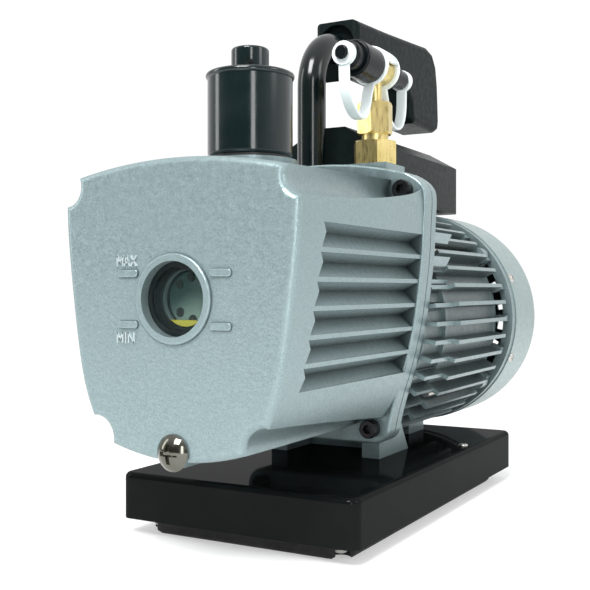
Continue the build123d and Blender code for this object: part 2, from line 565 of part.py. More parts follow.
rotor = rotor + rod_y(SHAFT_RADIUS, ROTOR_BACK_Y, COUPLING_FRONT_Y)
nodes["pump_rotor"] = rotor
vane_outer_x = ROTOR_RADIUS - 0.15
for name, side in (("vane_a", 1), ("vane_b", -1)):
    ends = sorted([side * vane_outer_x, side * (vane_outer_x - VANE_LENGTH)])
    vane = span_box(
        ends[0], ends[1], ROTOR_FRONT_Y + 0.05, ROTOR_BACK_Y - 0.05,
        AXIS_Z - VANE_THICKNESS / 2, AXIS_Z + VANE_THICKNESS / 2,
    )
    nodes[name] = vane
WIRE_RADIUS = 0.3
spring_length = 2 * (vane_outer_x - VANE_LENGTH) - 2 * WIRE_RADIUS - 0.1
springs = []
for y in SPRING_SPOTS:
    coil_path = Helix(pitch=spring_length / 9, height=spring_length, radius=SPRING_RADIUS - WIRE_RADIUS)
    coil_start = Plane(origin=coil_path @ 0, z_dir=coil_path % 0)
    coil = sweep(coil_start * Circle(WIRE_RADIUS), path=coil_path, is_frenet=True)
    springs.append(Pos(-spring_length / 2, y, AXIS_Z) * Rot(0, 90, 0) * coil)
nodes["vane_springs"] = group(springs)

# Exhaust reed on the deck above the cylinder, and the stop that limits its lift
REED_HINGE_X = 3.0
REED_TIP_X = 19.0
reed_z = VALVE_DECK_Z + 0.05
nodes["valve_reed"] = span_box(REED_HINGE_X + 0.1, REED_TIP_X, VALVE_Y - 6, VALVE_Y + 6, reed_z, reed_z + 0.4)
stop_profile = [
    (-12, VALVE_DECK_Z), (REED_HINGE_X - 0.5, VALVE_DECK_Z), (REED_HINGE_X - 0.5, reed_z + 0.6),
    (REED_TIP_X, reed_z + 3.4), (REED_TIP_X, reed_z + 5.0), (REED_HINGE_X, reed_z + 2.2), (-12, reed_z + 2.2),
]
valve_stop = prism_y(stop_profile, VALVE_Y - 6, VALVE_Y + 6)
valve_screws = []
for y in (VALVE_Y - 3.2, VALVE_Y + 3.2):
    valve_stop = valve_stop - rod_z(1.3, VALVE_DECK_Z - 1, VALVE_DECK_Z + 4, -6, y)
    nodes["pump_cylinder"] = nodes["pump_cylinder"] - rod_z(1.3, VALVE_DECK_Z - 6, VALVE_DECK_Z + 1, -6, y)
    valve_screws.append(Pos(-6, y, reed_z + 2.2) * pan_screw(2.4, 1.5, 1.3, 7.5))
nodes["valve_stop"] = valve_stop
nodes["valve_screws"] = group(valve_screws)

# ---------------------------------------------------------------- motor
PAD_HALF_WIDTH = 22.0
PAD_MIDDLE_X = (BOX_LEFT_X + BOX_RIGHT_X) / 2
housing_section = finned_section(HOUSING_RADIUS, FIN_RADIUS) - Circle(STATOR_RADIUS)
housing_plane = Plane(origin=(0, MOTOR_BACK_Y, AXIS_Z), x_dir=(1, 0, 0), z_dir=(0, -1, 0))
motor_housing = extrude(housing_plane * housing_section, amount=MOTOR_BACK_Y - MOTOR_FRONT_Y)
box_pad = span_box(
    PAD_MIDDLE_X - PAD_HALF_WIDTH, PAD_MIDDLE_X + PAD_HALF_WIDTH + 3, MOTOR_FRONT_Y + 4, MOTOR_BACK_Y - 3,
    AXIS_Z + 42, BOX_BOTTOM_Z,
)
box_pad = box_pad - rod_y(HOUSING_RADIUS - 1, MOTOR_FRONT_Y, MOTOR_BACK_Y)
motor_housing = motor_housing + box_pad
motor_foot = span_box(-12, 12, MOTOR_BACK_Y - 26, MOTOR_BACK_Y - 4, BASE_TOP_Z, AXIS_Z - HOUSING_RADIUS + 1)
motor_housing = motor_housing + motor_foot - rod_y(STATOR_RADIUS, MOTOR_FRONT_Y - 1, MOTOR_BACK_Y + 1)
wire_hole = rod_z(4.0, AXIS_Z + 40, BOX_BOTTOM_Z + 1, PAD_MIDDLE_X, 60)
motor_housing = motor_housing - wire_hole
foot_lane = span_box(
    -FOOT_HALF_WIDTH - 0.6, FOOT_HALF_WIDTH + 0.6, MOTOR_FRONT_Y - 1, 12.4, BASE_TOP_Z, AXIS_Z - HOUSING_RADIUS - 0.2,
)
nodes["motor_housing"] = motor_housing - foot_lane

THROUGH_BOLT_RADIUS = 2.0
THROUGH_BOLT_CIRCLE = 54.0
through_bolt_spots = []
for angle in (40, 140, 220, 320):
    turn = math.radians(angle)
    through_bolt_spots.append((THROUGH_BOLT_CIRCLE * math.cos(turn), AXIS_Z + THROUGH_BOLT_CIRCLE * math.sin(turn)))

STATOR_BORE = 28.4
AIR_GAP = 0.4
nodes["stator_core"] = ring_y(STATOR_RADIUS, STATOR_BORE, 16.0, 64.0)
winding_ends = []
for y0, y1 in ((7.0, 16.0), (64.0, 73.0)):
    ring = ring_y(43.0, 32.0, y0, y1)
    winding_ends.append(fillet(ring.edges().filter_by(GeomType.CIRCLE), 2.5))
nodes["windings"] = group(winding_ends)
rotor_core = ring_y(STATOR_BORE - AIR_GAP, SHAFT_RADIUS, 15.0, 65.0)
nodes["motor_rotor"] = rotor_core
SHAFT_BACK_Y = 138.0
nodes["motor_shaft"] = rod_y(SHAFT_RADIUS, COUPLING_FRONT_Y, SHAFT_BACK_Y)
nodes["drive_coupling"] = ring_y(8.4, SHAFT_RADIUS, COUPLING_FRONT_Y - 4.4, FRONT_BEARING_Y - 0.3)
bearing_bore = SHAFT_RADIUS + RUNNING_GAP
front_bearing = ring_y(BEARING_RADIUS, bearing_bore, FRONT_BEARING_Y, -0.5)

SHIELD_BACK_Y = COVER_FRONT_Y - 0.4
COVER_WALL = 1.5
WINDOW_COUNT = 20
shield = ring_y(STATOR_RADIUS + 4.0, STATOR_RADIUS - 4.0, MOTOR_BACK_Y, MOTOR_BACK_Y + 5)
shield = shield + rod_y(50.0, MOTOR_BACK_Y + 3, MOTOR_BACK_Y + 6)
rim = ring_y(COVER_RADIUS - 0.6, 54.5, SHIELD_BACK_Y - 5.5, SHIELD_BACK_Y)
shield = shield + rim + ring_y(COVER_RADIUS - COVER_WALL, 54.5, SHIELD_BACK_Y - 1, COVER_FRONT_Y + 5.5)
for index in range(WINDOW_COUNT):
    spoke = Pos(0, 0, AXIS_Z) * Rot(0, 360.0 / WINDOW_COUNT * index, 0) * Pos(0, 0, -AXIS_Z)
    rib = span_box(45.0, 57.5, MOTOR_BACK_Y + 3, SHIELD_BACK_Y - 4, AXIS_Z - 1.6, AXIS_Z + 1.6)
    shield = shield + spoke * rib
SHIELD_HUB_RADIUS = 18.0
shield = shield + rod_y(SHIELD_HUB_RADIUS, MOTOR_BACK_Y + 3, MOTOR_BACK_Y + 15)
for x, z in through_bolt_spots:
    shield = shield + rod_y(5.0, MOTOR_BACK_Y, MOTOR_BACK_Y + 8, x, z)
    shield = shield - rod_y(THROUGH_BOLT_RADIUS, MOTOR_BACK_Y - 1, MOTOR_BACK_Y + 9, x, z)
    shield = shield - rod_y(4.4, MOTOR_BACK_Y + 8, MOTOR_BACK_Y + 12, x, z)
shield = shield - rod_y(SHAFT_RADIUS + 1.5, MOTOR_BACK_Y, MOTOR_BACK_Y + 16)
shield = shield - rod_y(BEARING_RADIUS, MOTOR_BACK_Y + 5, MOTOR_BACK_Y + 16)
nodes["rear_shield"] = shield
rear_bearing = ring_y(BEARING_RADIUS, bearing_bore, MOTOR_BACK_Y + 5, MOTOR_BACK_Y + 15)
nodes["motor_bearings"] = group([front_bearing, rear_bearing])
through_bolts = []
for x, z in through_bolt_spots:
    nodes["motor_housing"] = nodes["motor_housing"] - rod_y(3.6, MOTOR_FRONT_Y - 1, MOTOR_BACK_Y + 1, x, z)
    bolt = rod_y(THROUGH_BOLT_RADIUS, MOTOR_FRONT_Y, MOTOR_BACK_Y + 8, x, z)
    head = Pos(x, MOTOR_BACK_Y + 8, z) * Rot(-90, 0, 0) * hex_z(7.0, 0, 3.0, 0, 0, 0.5)
    through_bolts.append(bolt + head)
nodes["through_bolts"] = group(through_bolts)

# ---------------------------------------------------------------- fan and its cover
COVER_ROUND = 18.0


def cover_blank(radius, y0, y1, rounding):
    """The fan cover's rounded cup."""
    cup = rod_y(radius, y0, y1)
    return fillet(cup.faces().sort_by(Axis.Y)[-1].edges(), rounding)


fan_cover = cover_blank(COVER_RADIUS, COVER_FRONT_Y, REAR_Y, COVER_ROUND)
inner_cup = cover_blank(COVER_RADIUS - COVER_WALL, COVER_FRONT_Y - 1, REAR_Y - COVER_WALL, COVER_ROUND - COVER_WALL)
fan_cover = fan_cover - inner_cup
GRILLE_ROWS = [(12.0, 6), (20.0, 10), (28.0, 14), (36.0, 18)]
for row_radius, count in GRILLE_ROWS:
    for index in range(count):
        turn = Pos(0, 0, AXIS_Z) * Rot(0, 360.0 / count * index, 0) * Pos(0, 0, -AXIS_Z)
        slot = span_box(-2.6, 2.6, REAR_Y - 4, REAR_Y + 1, AXIS_Z + row_radius - 2, AXIS_Z + row_radius + 2)
        fan_cover = fan_cover - turn * slot
COVER_SCREW_Y = COVER_FRONT_Y + 3.0
cover_screws = []
for angle in (22, 158, 202, 338):
    turn = Pos(0, COVER_SCREW_Y, AXIS_Z) * Rot(0, 90 - angle, 0)
    hole = turn * rod_z(1.5, 53.0, COVER_RADIUS + 1)
    fan_cover = fan_cover - hole
    nodes["rear_shield"] = nodes["rear_shield"] - hole
    cover_screws.append(turn * Pos(0, 0, COVER_RADIUS) * pan_screw(2.8, 1.6, 1.5, 5.0))
nodes["fan_cover"] = fan_cover
nodes["cover_screws"] = group(cover_screws)
FAN_FRONT_Y = 106.0
FAN_BACK_Y = 128.0
fan = ring_y(14.0, SHAFT_RADIUS, FAN_FRONT_Y - 2, FAN_BACK_Y) + ring_y(46.0, 13.0, FAN_FRONT_Y - 2, FAN_FRONT_Y)
for index in range(9):
    turn = Pos(0, 0, AXIS_Z) * Rot(0, 40.0 * index, 0) * Pos(0, 0, -AXIS_Z)
    blade = span_box(12.5, 50.0, FAN_FRONT_Y - 1, FAN_BACK_Y - 2, AXIS_Z - 0.9, AXIS_Z + 0.9)
    fan = fan + turn * blade
nodes["fan"] = fan

# ---------------------------------------------------------------- control box on top of the motor
BOX_WALL = 2.2
BOX_SLOPE_WIDTH = 17.0     # sloped strip along each top edge
BOX_SLOPE_HEIGHT = 9.6
BOX_FLOOR = 3.0


def box_solid(inset):
    """The control box outline with chamfered top edges and a rounded back."""
    x0 = BOX_LEFT_X + inset
    x1 = BOX_RIGHT_X - inset
    z0 = BOX_BOTTOM_Z + BOX_FLOOR
    z1 = BOX_TOP_Z - inset
    shoulder_z = z1 - BOX_SLOPE_HEIGHT
    profile = [
        (x0, z0), (x1, z0), (x1, shoulder_z), (x1 - BOX_SLOPE_WIDTH, z1), (x0 + BOX_SLOPE_WIDTH, z1), (x0, shoulder_z),
    ]
    solid = prism_y(profile, BOX_FRONT_Y + inset, BOX_BACK_Y - inset)
    back_edges = solid.faces().sort_by(Axis.Y)[-1].edges().sort_by(Axis.Z)[1:]
    return fillet(back_edges, 6.0 - inset)


control_box = box_solid(0.0) - (box_solid(BOX_WALL) + Pos(0, 0, -1) * box_solid(BOX_WALL))
box_floor = span_box(BOX_LEFT_X, BOX_RIGHT_X, BOX_FRONT_Y, BOX_BACK_Y, BOX_BOTTOM_Z, BOX_BOTTOM_Z + BOX_FLOOR)
box_floor = fillet(box_floor.edges().filter_by(Axis.Z).sort_by(Axis.Y)[-2:], 6.0)
box_floor = box_floor - rod_z(4.0, BOX_BOTTOM_Z - 1, BOX_BOTTOM_Z + 4, PAD_MIDDLE_X, 60)
BOX_SCREW_SPOTS = [(PAD_MIDDLE_X + dx, y) for dx in (-17, 17) for y in (14.0, 70.0)]
box_screws = []
for x, y in BOX_SCREW_SPOTS:
    box_floor = box_floor - rod_z(1.9, BOX_BOTTOM_Z - 1, BOX_BOTTOM_Z + 4, x, y)
    nodes["motor_housing"] = nodes["motor_housing"] - rod_z(1.9, BOX_BOTTOM_Z - 7, BOX_BOTTOM_Z + 1, x, y)
    box_screws.append(Pos(x, y, BOX_BOTTOM_Z + BOX_FLOOR) * pan_screw(3.4, 2.0, 1.9, 8.0))
INLET_WIDTH = 27.4
INLET_HEIGHT = 20.0
INLET_MID_X = PAD_MIDDLE_X
INLET_MID_Z = 170.0
recess = span_box(
    INLET_MID_X - INLET_WIDTH / 2, INLET_MID_X + INLET_WIDTH / 2, BOX_BACK_Y - 5, BOX_BACK_Y + 1,
    INLET_MID_Z - INLET_HEIGHT / 2, INLET_MID_Z + INLET_HEIGHT / 2,
)
control_box = control_box - recess
SWITCH_MID_Y = 92.0
SWITCH_MID_Z = 167.0
SWITCH_LENGTH = 27.0
SWITCH_HEIGHT = 13.0
switch_cut = span_box(
    BOX_LEFT_X - 1, BOX_LEFT_X + 5, SWITCH_MID_Y - SWITCH_LENGTH / 2, SWITCH_MID_Y + SWITCH_LENGTH / 2,
    SWITCH_MID_Z - SWITCH_HEIGHT / 2, SWITCH_MID_Z + SWITCH_HEIGHT / 2,
)
control_box = control_box - switch_cut
nodes["control_box"] = control_box
nodes["box_floor"] = box_floor
nodes["box_screws"] = group(box_screws)
CAPACITOR_RADIUS = 13.0
capacitor_z = BOX_BOTTOM_Z + BOX_FLOOR + 2.2 + CAPACITOR_RADIUS
capacitor = rod_y(CAPACITOR_RADIUS, 18.0, 74.0, PAD_MIDDLE_X, capacitor_z)
capacitor = fillet(capacitor.edges().filter_by(GeomType.CIRCLE), 1.2)
for dx in (-5, 5):
    capacitor = capacitor + rod_y(1.6, 73.0, 80.0, PAD_MIDDLE_X + dx, capacitor_z)
nodes["capacitor"] = capacitor

# Mains inlet: a moulded cup with three blades, in the back wall of the control box
power_inlet = span_box(
    INLET_MID_X - INLET_WIDTH / 2, INLET_MID_X + INLET_WIDTH / 2, BOX_BACK_Y - 20, BOX_BACK_Y,
    INLET_MID_Z - INLET_HEIGHT / 2, INLET_MID_Z + INLET_HEIGHT / 2,
)
rim_plate = span_box(
    INLET_MID_X - 15.2, INLET_MID_X + 15.2, BOX_BACK_Y, BOX_BACK_Y + 2.0, INLET_MID_Z - 12, INLET_MID_Z + 12,
)
power_inlet = power_inlet + fillet(rim_plate.edges().filter_by(Axis.Y), 2.0)
CUP_WIDTH = 24.2
CUP_HEIGHT = 16.4
CUP_DEPTH = 15.0
cup_floor_y = BOX_BACK_Y + 2.0 - CUP_DEPTH
half_width = CUP_WIDTH / 2
half_height = CUP_HEIGHT / 2
CUP_CORNER = 4.5
cup_outline = [
    (-half_width, -half_height), (half_width, -half_height), (half_width, half_height - CUP_CORNER),
    (half_width - CUP_CORNER, half_height), (CUP_CORNER - half_width, half_height),
    (-half_width, half_height - CUP_CORNER),
]
power_inlet = power_inlet - Pos(INLET_MID_X, 0, INLET_MID_Z) * prism_y(cup_outline, cup_floor_y, BOX_BACK_Y + 3)
inlet_pins = []
for x, z in ((-7.0, -1.5), (7.0, -1.5), (0.0, 2.5)):
    blade = span_box(
        INLET_MID_X + x - 1.0, INLET_MID_X + x + 1.0, cup_floor_y - 4, cup_floor_y + 11.0,
        INLET_MID_Z + z - 2.0, INLET_MID_Z + z + 2.0,
    )
    power_inlet = power_inlet - blade
    inlet_pins.append(blade)
nodes["power_inlet"] = power_inlet
nodes["inlet_pins"] = group(inlet_pins)

# Rocker switch in the left wall of the control box
SWITCH_WALL = 1.2
switch_frame = span_box(
    BOX_LEFT_X, BOX_LEFT_X + 14, SWITCH_MID_Y - SWITCH_LENGTH / 2, SWITCH_MID_Y + SWITCH_LENGTH / 2,
    SWITCH_MID_Z - SWITCH_HEIGHT / 2, SWITCH_MID_Z + SWITCH_HEIGHT / 2,
)
bezel = span_box(
    BOX_LEFT_X - 1.5, BOX_LEFT_X, SWITCH_MID_Y - SWITCH_LENGTH / 2 - 1.5, SWITCH_MID_Y + SWITCH_LENGTH / 2 + 1.5,
    SWITCH_MID_Z - SWITCH_HEIGHT / 2 - 1, SWITCH_MID_Z + SWITCH_HEIGHT / 2 + 1,
)
switch_frame = switch_frame + bezel
switch_well = span_box(
    BOX_LEFT_X - 3, BOX_LEFT_X + 11,
    SWITCH_MID_Y - SWITCH_LENGTH / 2 + SWITCH_WALL, SWITCH_MID_Y + SWITCH_LENGTH / 2 - SWITCH_WALL,
    SWITCH_MID_Z - SWITCH_HEIGHT / 2 + SWITCH_WALL, SWITCH_MID_Z + SWITCH_HEIGHT / 2 - SWITCH_WALL,
)
switch_frame = switch_frame - switch_well
ROCKER_PIVOT_X = BOX_LEFT_X + 4.0
ROCKER_TILT = 9.0
rocker_half = SWITCH_LENGTH / 2 - SWITCH_WALL - 1.4
rocker_points = [
    (-rocker_half, 0.0), (-rocker_half, 6.6), (-rocker_half * 0.5, 5.2), (0.0, 4.7),
    (rocker_half * 0.5, 5.2), (rocker_half, 6.6), (rocker_half, 0.0), (0.0, -2.2),
]
# The rocker is drawn about its pivot with its face upwards, then laid on its side and tilted to rest at off
rocker = extrude(Plane.YZ * make_face(Polyline(*rocker_points, close=True)), amount=4.9, both=True)
rocker = rocker - rod_x(1.55, -6, 6)
rocker = Rot(0, -90, 0) * rocker
rocker = Rot(0, 0, ROCKER_TILT) * rocker
nodes["rocker_switch"] = Pos(ROCKER_PIVOT_X, SWITCH_MID_Y, SWITCH_MID_Z) * rocker
pin_half = SWITCH_HEIGHT / 2 - 1
pivot_pin = rod_z(1.5, SWITCH_MID_Z - pin_half, SWITCH_MID_Z + pin_half, ROCKER_PIVOT_X, SWITCH_MID_Y)
nodes["switch_frame"] = switch_frame + pivot_pin

# ---------------------------------------------------------------- handle
TUBE_END_Y = 56.0
handle_path = FilletPolyline(
    (HANDLE_X, HANDLE_Y, HANDLE_SOCKET_Z), (HANDLE_X, HANDLE_Y, HANDLE_AXIS_Z),
    (HANDLE_X, TUBE_END_Y, HANDLE_AXIS_Z),
    radius=HANDLE_BEND,
)
tube_start = Plane(origin=handle_path @ 0, z_dir=(0, 0, 1))
handle_tube = sweep(tube_start * Circle(HANDLE_RADIUS), path=handle_path)
handle_tube = handle_tube - sweep(tube_start * Circle(HANDLE_RADIUS - 1.6), path=handle_path)
nodes["handle_tube"] = handle_tube
GRIP_HALF_WIDTH = 12.5
grip_side = [
    (GRIP_FRONT_Y, 217.5), (GRIP_FRONT_Y, 249.5), (60.0, 252.0), (100.0, 255.2), (121.0, 257.0), (131.0, 255.0),
    (137.4, 248.0), (140.4, 236.0), (142.4, 214.0), (141.0, 208.4), (136.0, 206.2), (101.0, 206.8), (97.0, 209.5),
    (95.6, 218.0), (90.0, 224.0), (78.0, 226.6), (52.0, 226.4), (36.0, 224.0), (28.0, 219.5),
]
grip = prism_x(grip_side, HANDLE_X - GRIP_HALF_WIDTH, HANDLE_X + GRIP_HALF_WIDTH)
grip_rims = grip.faces().sort_by(Axis.X)
grip = fillet(grip_rims[0].outer_wire().edges() + grip_rims[-1].outer_wire().edges(), 3.4)
grip = grip - rod_y(HANDLE_RADIUS, GRIP_FRONT_Y - 1, TUBE_END_Y, HANDLE_X, HANDLE_AXIS_Z)
GRIP_RECESS_RADIUS = 10.4
GRIP_RECESS_DEPTH = 5.0
GRIP_RECESS_LIFT = 2.8    # the mouth's recess sits a little above the tube's axis
recess_end_y = GRIP_FRONT_Y + GRIP_RECESS_DEPTH
recess_z = HANDLE_AXIS_Z + GRIP_RECESS_LIFT
grip = grip - rod_y(GRIP_RECESS_RADIUS, GRIP_FRONT_Y - 1, recess_end_y, HANDLE_X, recess_z)
nodes["handle_grip"] = grip

# ---------------------------------------------------------------- inlet fitting with two flare ports
fitting = hex_z(19.5, PLATFORM_Z, PLATFORM_Z + 12.4, INLET_X, INLET_Y, 1.0)
fitting = fitting + rod_z(5.0, PLATFORM_Z - 10, PLATFORM_Z + 1, INLET_X, INLET_Y)
NECK_TOP_Z = PLATFORM_Z + 15.8
fitting = fitting + rod_z(6.6, PLATFORM_Z + 12, NECK_TOP_Z, INLET_X, INLET_Y)
fitting = fitting - rod_z(3.5, PLATFORM_Z - 11, NECK_TOP_Z + 1, INLET_X, INLET_Y)
nodes["inlet_fitting"] = fitting
TEE_HEX_TOP_Z = 198.4
TEE_HEX_TURN = -18.0
BARREL_RADIUS = 7.4
tee = hex_z(15.6, NECK_TOP_Z, TEE_HEX_TOP_Z, INLET_X, INLET_Y, 1.0, TEE_HEX_TURN)
tee = tee + rod_z(3.4, TEE_HEX_TOP_Z - 1, TEE_Z, INLET_X, INLET_Y)
PORT_FRONT_Y = -21.0
PORT_REAR_Y = 11.4
FRONT_COLLAR_Y = -11.8
REAR_COLLAR_Y = 2.4
tee = tee + rod_y(BARREL_RADIUS, FRONT_COLLAR_Y + 2.2, REAR_COLLAR_Y + 0.4, INLET_X, TEE_Z)
tee = tee + rod_y(FRONT_THREAD_RADIUS, PORT_FRONT_Y, FRONT_COLLAR_Y + 2.3, INLET_X, TEE_Z)
tee = tee + rod_y(REAR_THREAD_RADIUS, REAR_COLLAR_Y, PORT_REAR_Y, INLET_X, TEE_Z)
tee = chamfer(tee.faces().sort_by(Axis.Y)[0].outer_wire().edges(), 1.2)
tee = tee - rod_y(3.8, PORT_FRONT_Y - 1, INLET_Y, INLET_X, TEE_Z)
tee = tee - rod_y(2.6, INLET_Y - 1, PORT_REAR_Y + 1, INLET_X, TEE_Z)
tee = tee - rod_z(2.2, NECK_TOP_Z - 1, TEE_Z, INLET_X, INLET_Y)
nodes["inlet_tee"] = tee
CAP_GAP = 0.5
FRONT_CAP_RADIUS = 8.7
FRONT_CAP_FACE_Y = -30.4
FRONT_NECK_RADIUS = 6.8
FRONT_NECK_END_Y = -37.4
CAP_END_Y = -43.2
front_cap = rod_y(FRONT_CAP_RADIUS, FRONT_CAP_FACE_Y, FRONT_COLLAR_Y - CAP_GAP, INLET_X, TEE_Z)
front_cap = fillet(front_cap.edges().filter_by(GeomType.CIRCLE).sort_by(Axis.Y)[0], 1.2)
neck = rod_y(FRONT_NECK_RADIUS, FRONT_NECK_END_Y, FRONT_CAP_FACE_Y + 0.2, INLET_X, TEE_Z)
neck = fillet(neck.edges().filter_by(GeomType.CIRCLE).sort_by(Axis.Y)[0], 1.6)
PIN_RADIUS = 2.5
KNOB_RADIUS = 3.3
front_cap = front_cap + neck + rod_y(PIN_RADIUS, CAP_END_Y, FRONT_NECK_END_Y + 1, INLET_X, TEE_Z)
knob = rod_y(KNOB_RADIUS, CAP_END_Y, CAP_END_Y + 1.9, INLET_X, TEE_Z)
front_cap = front_cap + fillet(knob.edges().filter_by(GeomType.CIRCLE), 0.9)
cap_bore = FRONT_THREAD_RADIUS + RUNNING_GAP
front_cap = front_cap - rod_y(cap_bore, PORT_FRONT_Y - 0.5, FRONT_COLLAR_Y + 1, INLET_X, TEE_Z)
nodes["flare_cap_front"] = front_cap

REAR_CAP_RADIUS = 7.0
REAR_CAP_FACE_Y = 13.4
REAR_NECK_RADIUS = 5.0
REAR_NECK_END_Y = 27.0
REAR_CAP_END_Y = 32.8
rear_cap = rod_y(REAR_CAP_RADIUS, REAR_COLLAR_Y + CAP_GAP + 1.6, REAR_CAP_FACE_Y, INLET_X, TEE_Z)
rear_cap = fillet(rear_cap.edges().filter_by(GeomType.CIRCLE).sort_by(Axis.Y)[-1], 1.2)
neck = rod_y(REAR_NECK_RADIUS, REAR_CAP_FACE_Y - 0.2, REAR_NECK_END_Y, INLET_X, TEE_Z)
neck = fillet(neck.edges().filter_by(GeomType.CIRCLE).sort_by(Axis.Y)[-1], 1.2)
rear_cap = rear_cap + neck + rod_y(PIN_RADIUS, REAR_NECK_END_Y - 1, REAR_CAP_END_Y, INLET_X, TEE_Z)
knob = rod_y(KNOB_RADIUS, REAR_CAP_END_Y - 2.0, REAR_CAP_END_Y, INLET_X, TEE_Z)
rear_cap = rear_cap + fillet(knob.edges().filter_by(GeomType.CIRCLE), 0.8)
rear_cap = rear_cap - rod_y(REAR_THREAD_RADIUS + RUNNING_GAP, REAR_COLLAR_Y, PORT_REAR_Y + 0.5, INLET_X, TEE_Z)
nodes["flare_cap_rear"] = rear_cap

# Tether straps: an end ring turns on each cap's knob, and a band hangs down to a collar on the tee
STRAP_RING_RADIUS = 5.5
front_ring_y = (FRONT_NECK_END_Y - 3.5, FRONT_NECK_END_Y - 0.3)
rear_ring_y = (REAR_NECK_END_Y + 0.3, REAR_NECK_END_Y + 3.4)
strap_ring_bore = PIN_RADIUS + RUNNING_GAP
nodes["strap_ring_front"] = ring_y(STRAP_RING_RADIUS, strap_ring_bore, *front_ring_y, INLET_X, TEE_Z)
nodes["strap_ring_rear"] = ring_y(STRAP_RING_RADIUS, strap_ring_bore, *rear_ring_y, INLET_X, TEE_Z)
STRAP_HALF_WIDTH = 2.5
STRAP_THICKNESS = 1.5


def strap_band(points, radius):
    """A flat band that follows (y, z) points in a plane across X."""
    path = FilletPolyline(*[(INLET_X, y, z) for y, z in points], radius=radius)
    start = Plane(origin=path @ 0, x_dir=(1, 0, 0), z_dir=path % 0)
    return sweep(start * Rectangle(2 * STRAP_HALF_WIDTH, STRAP_THICKNESS), path=path)


COLLAR_RADIUS = 9.7
collar_span = (FRONT_COLLAR_Y + 0.2, FRONT_COLLAR_Y + 2.2)
front_collar = ring_y(COLLAR_RADIUS, FRONT_THREAD_RADIUS, *collar_span, INLET_X, TEE_Z)
sleeve = ring_y(COLLAR_RADIUS, BARREL_RADIUS + 0.5, FRONT_COLLAR_Y + 2.1, REAR_COLLAR_Y + 0.1, INLET_X, TEE_Z)
sleeve_cut = span_box(INLET_X - 15, INLET_X + 15, FRONT_COLLAR_Y, REAR_COLLAR_Y + 1, TEE_Z - 15, TEE_Z + 1.6)
front_mid_y = (front_ring_y[0] + front_ring_y[1]) / 2
front_band = strap_band([
    (FRONT_COLLAR_Y + 1.2, TEE_Z - COLLAR_RADIUS + 0.8), (-13.6, 202.0), (-17.0, 194.5), (-21.5, 189.5),
    (-29.0, 188.8), (-36.0, 194.5), (front_mid_y, 202.0), (front_mid_y, TEE_Z - STRAP_RING_RADIUS - 0.05),
], 2.4)
nodes["strap_front"] = front_collar + (sleeve - sleeve_cut) + front_band
rear_collar = ring_y(9.6, REAR_THREAD_RADIUS, REAR_COLLAR_Y + 0.4, REAR_COLLAR_Y + 2.0, INLET_X, TEE_Z)
rear_mid_y = (rear_ring_y[0] + rear_ring_y[1]) / 2
rear_band = strap_band([
    (REAR_COLLAR_Y + 1.2, TEE_Z - 9.2), (6.5, 199.0), (9.5, 192.0), (18.0, 188.8), (26.0, 192.5),
    (rear_mid_y, 200.0), (rear_mid_y, TEE_Z - STRAP_RING_RADIUS - 0.05),
], 3.0)
nodes["strap_rear"] = rear_collar + rear_band

os.makedirs("parts", exist_ok=True)
for name, shape in nodes.items():
    export_step(shape, f"parts/{name}.step")
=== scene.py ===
import json
import math

import bmesh
import bpy
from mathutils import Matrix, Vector


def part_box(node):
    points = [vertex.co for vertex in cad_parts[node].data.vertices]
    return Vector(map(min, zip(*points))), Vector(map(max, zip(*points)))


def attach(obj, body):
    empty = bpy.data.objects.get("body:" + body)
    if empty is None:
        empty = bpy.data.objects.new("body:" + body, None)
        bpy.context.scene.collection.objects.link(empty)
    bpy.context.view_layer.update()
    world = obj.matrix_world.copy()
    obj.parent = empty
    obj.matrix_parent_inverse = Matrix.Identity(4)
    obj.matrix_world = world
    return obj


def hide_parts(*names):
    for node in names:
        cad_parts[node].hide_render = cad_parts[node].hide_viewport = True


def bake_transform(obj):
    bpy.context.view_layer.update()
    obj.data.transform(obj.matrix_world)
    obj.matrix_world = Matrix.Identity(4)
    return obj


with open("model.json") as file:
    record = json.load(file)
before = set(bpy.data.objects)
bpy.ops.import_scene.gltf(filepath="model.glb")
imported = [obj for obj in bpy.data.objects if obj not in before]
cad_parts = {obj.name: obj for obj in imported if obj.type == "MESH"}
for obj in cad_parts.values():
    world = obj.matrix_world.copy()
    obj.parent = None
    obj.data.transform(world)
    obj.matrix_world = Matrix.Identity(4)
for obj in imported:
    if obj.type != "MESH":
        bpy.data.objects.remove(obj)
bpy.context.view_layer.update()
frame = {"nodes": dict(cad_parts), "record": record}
nodes = frame["nodes"]
slot_of = {part["node"]: part["material_slot"] for part in frame["record"]["subparts"]}

# Blender works in metres. The pieces below are drawn in millimetres and scaled by MM.
MM = 0.001


# ---------------------------------------------------------------- camera
LENS = 57.84
SENSOR_WIDTH = 36.0
CAMERA_PLACE = (0.21176, -0.43237, 0.10699)
CAMERA_FORWARD = (-0.48688, 0.87344, -0.00614)


def add_camera():
    """The camera stands in front of the pump's right corner, level with the casing."""
    data = bpy.data.cameras.new("camera")
    data.lens = LENS
    data.sensor_width = SENSOR_WIDTH
    data.clip_start = 0.01
    camera = bpy.data.objects.new("camera", data)
    bpy.context.scene.collection.objects.link(camera)
    camera.location = CAMERA_PLACE
    camera.rotation_mode = "QUATERNION"
    camera.rotation_quaternion = Vector(CAMERA_FORWARD).to_track_quat("-Z", "Y")
    bpy.context.scene.camera = camera


add_camera()


# ---------------------------------------------------------------- materials
# Texture scales are in features per metre, and relief depths are in metres.
FLAKE_SCALE = 1900.0
PEBBLE_SCALE = 700.0
# Walls closer together than this get painted shade between them.
GROOVE_WIDTH = 0.014
EVEN = (1.0, 1.0, 1.0)


def scaled(colour, factor):
    """A darker or brighter colour, with no channel over 1."""
    return tuple(min(1.0, c * factor) for c in colour)


def lifted(colour, amount):
    """A paler colour, with no channel over 1."""
    return tuple(min(1.0, c + amount) for c in colour)


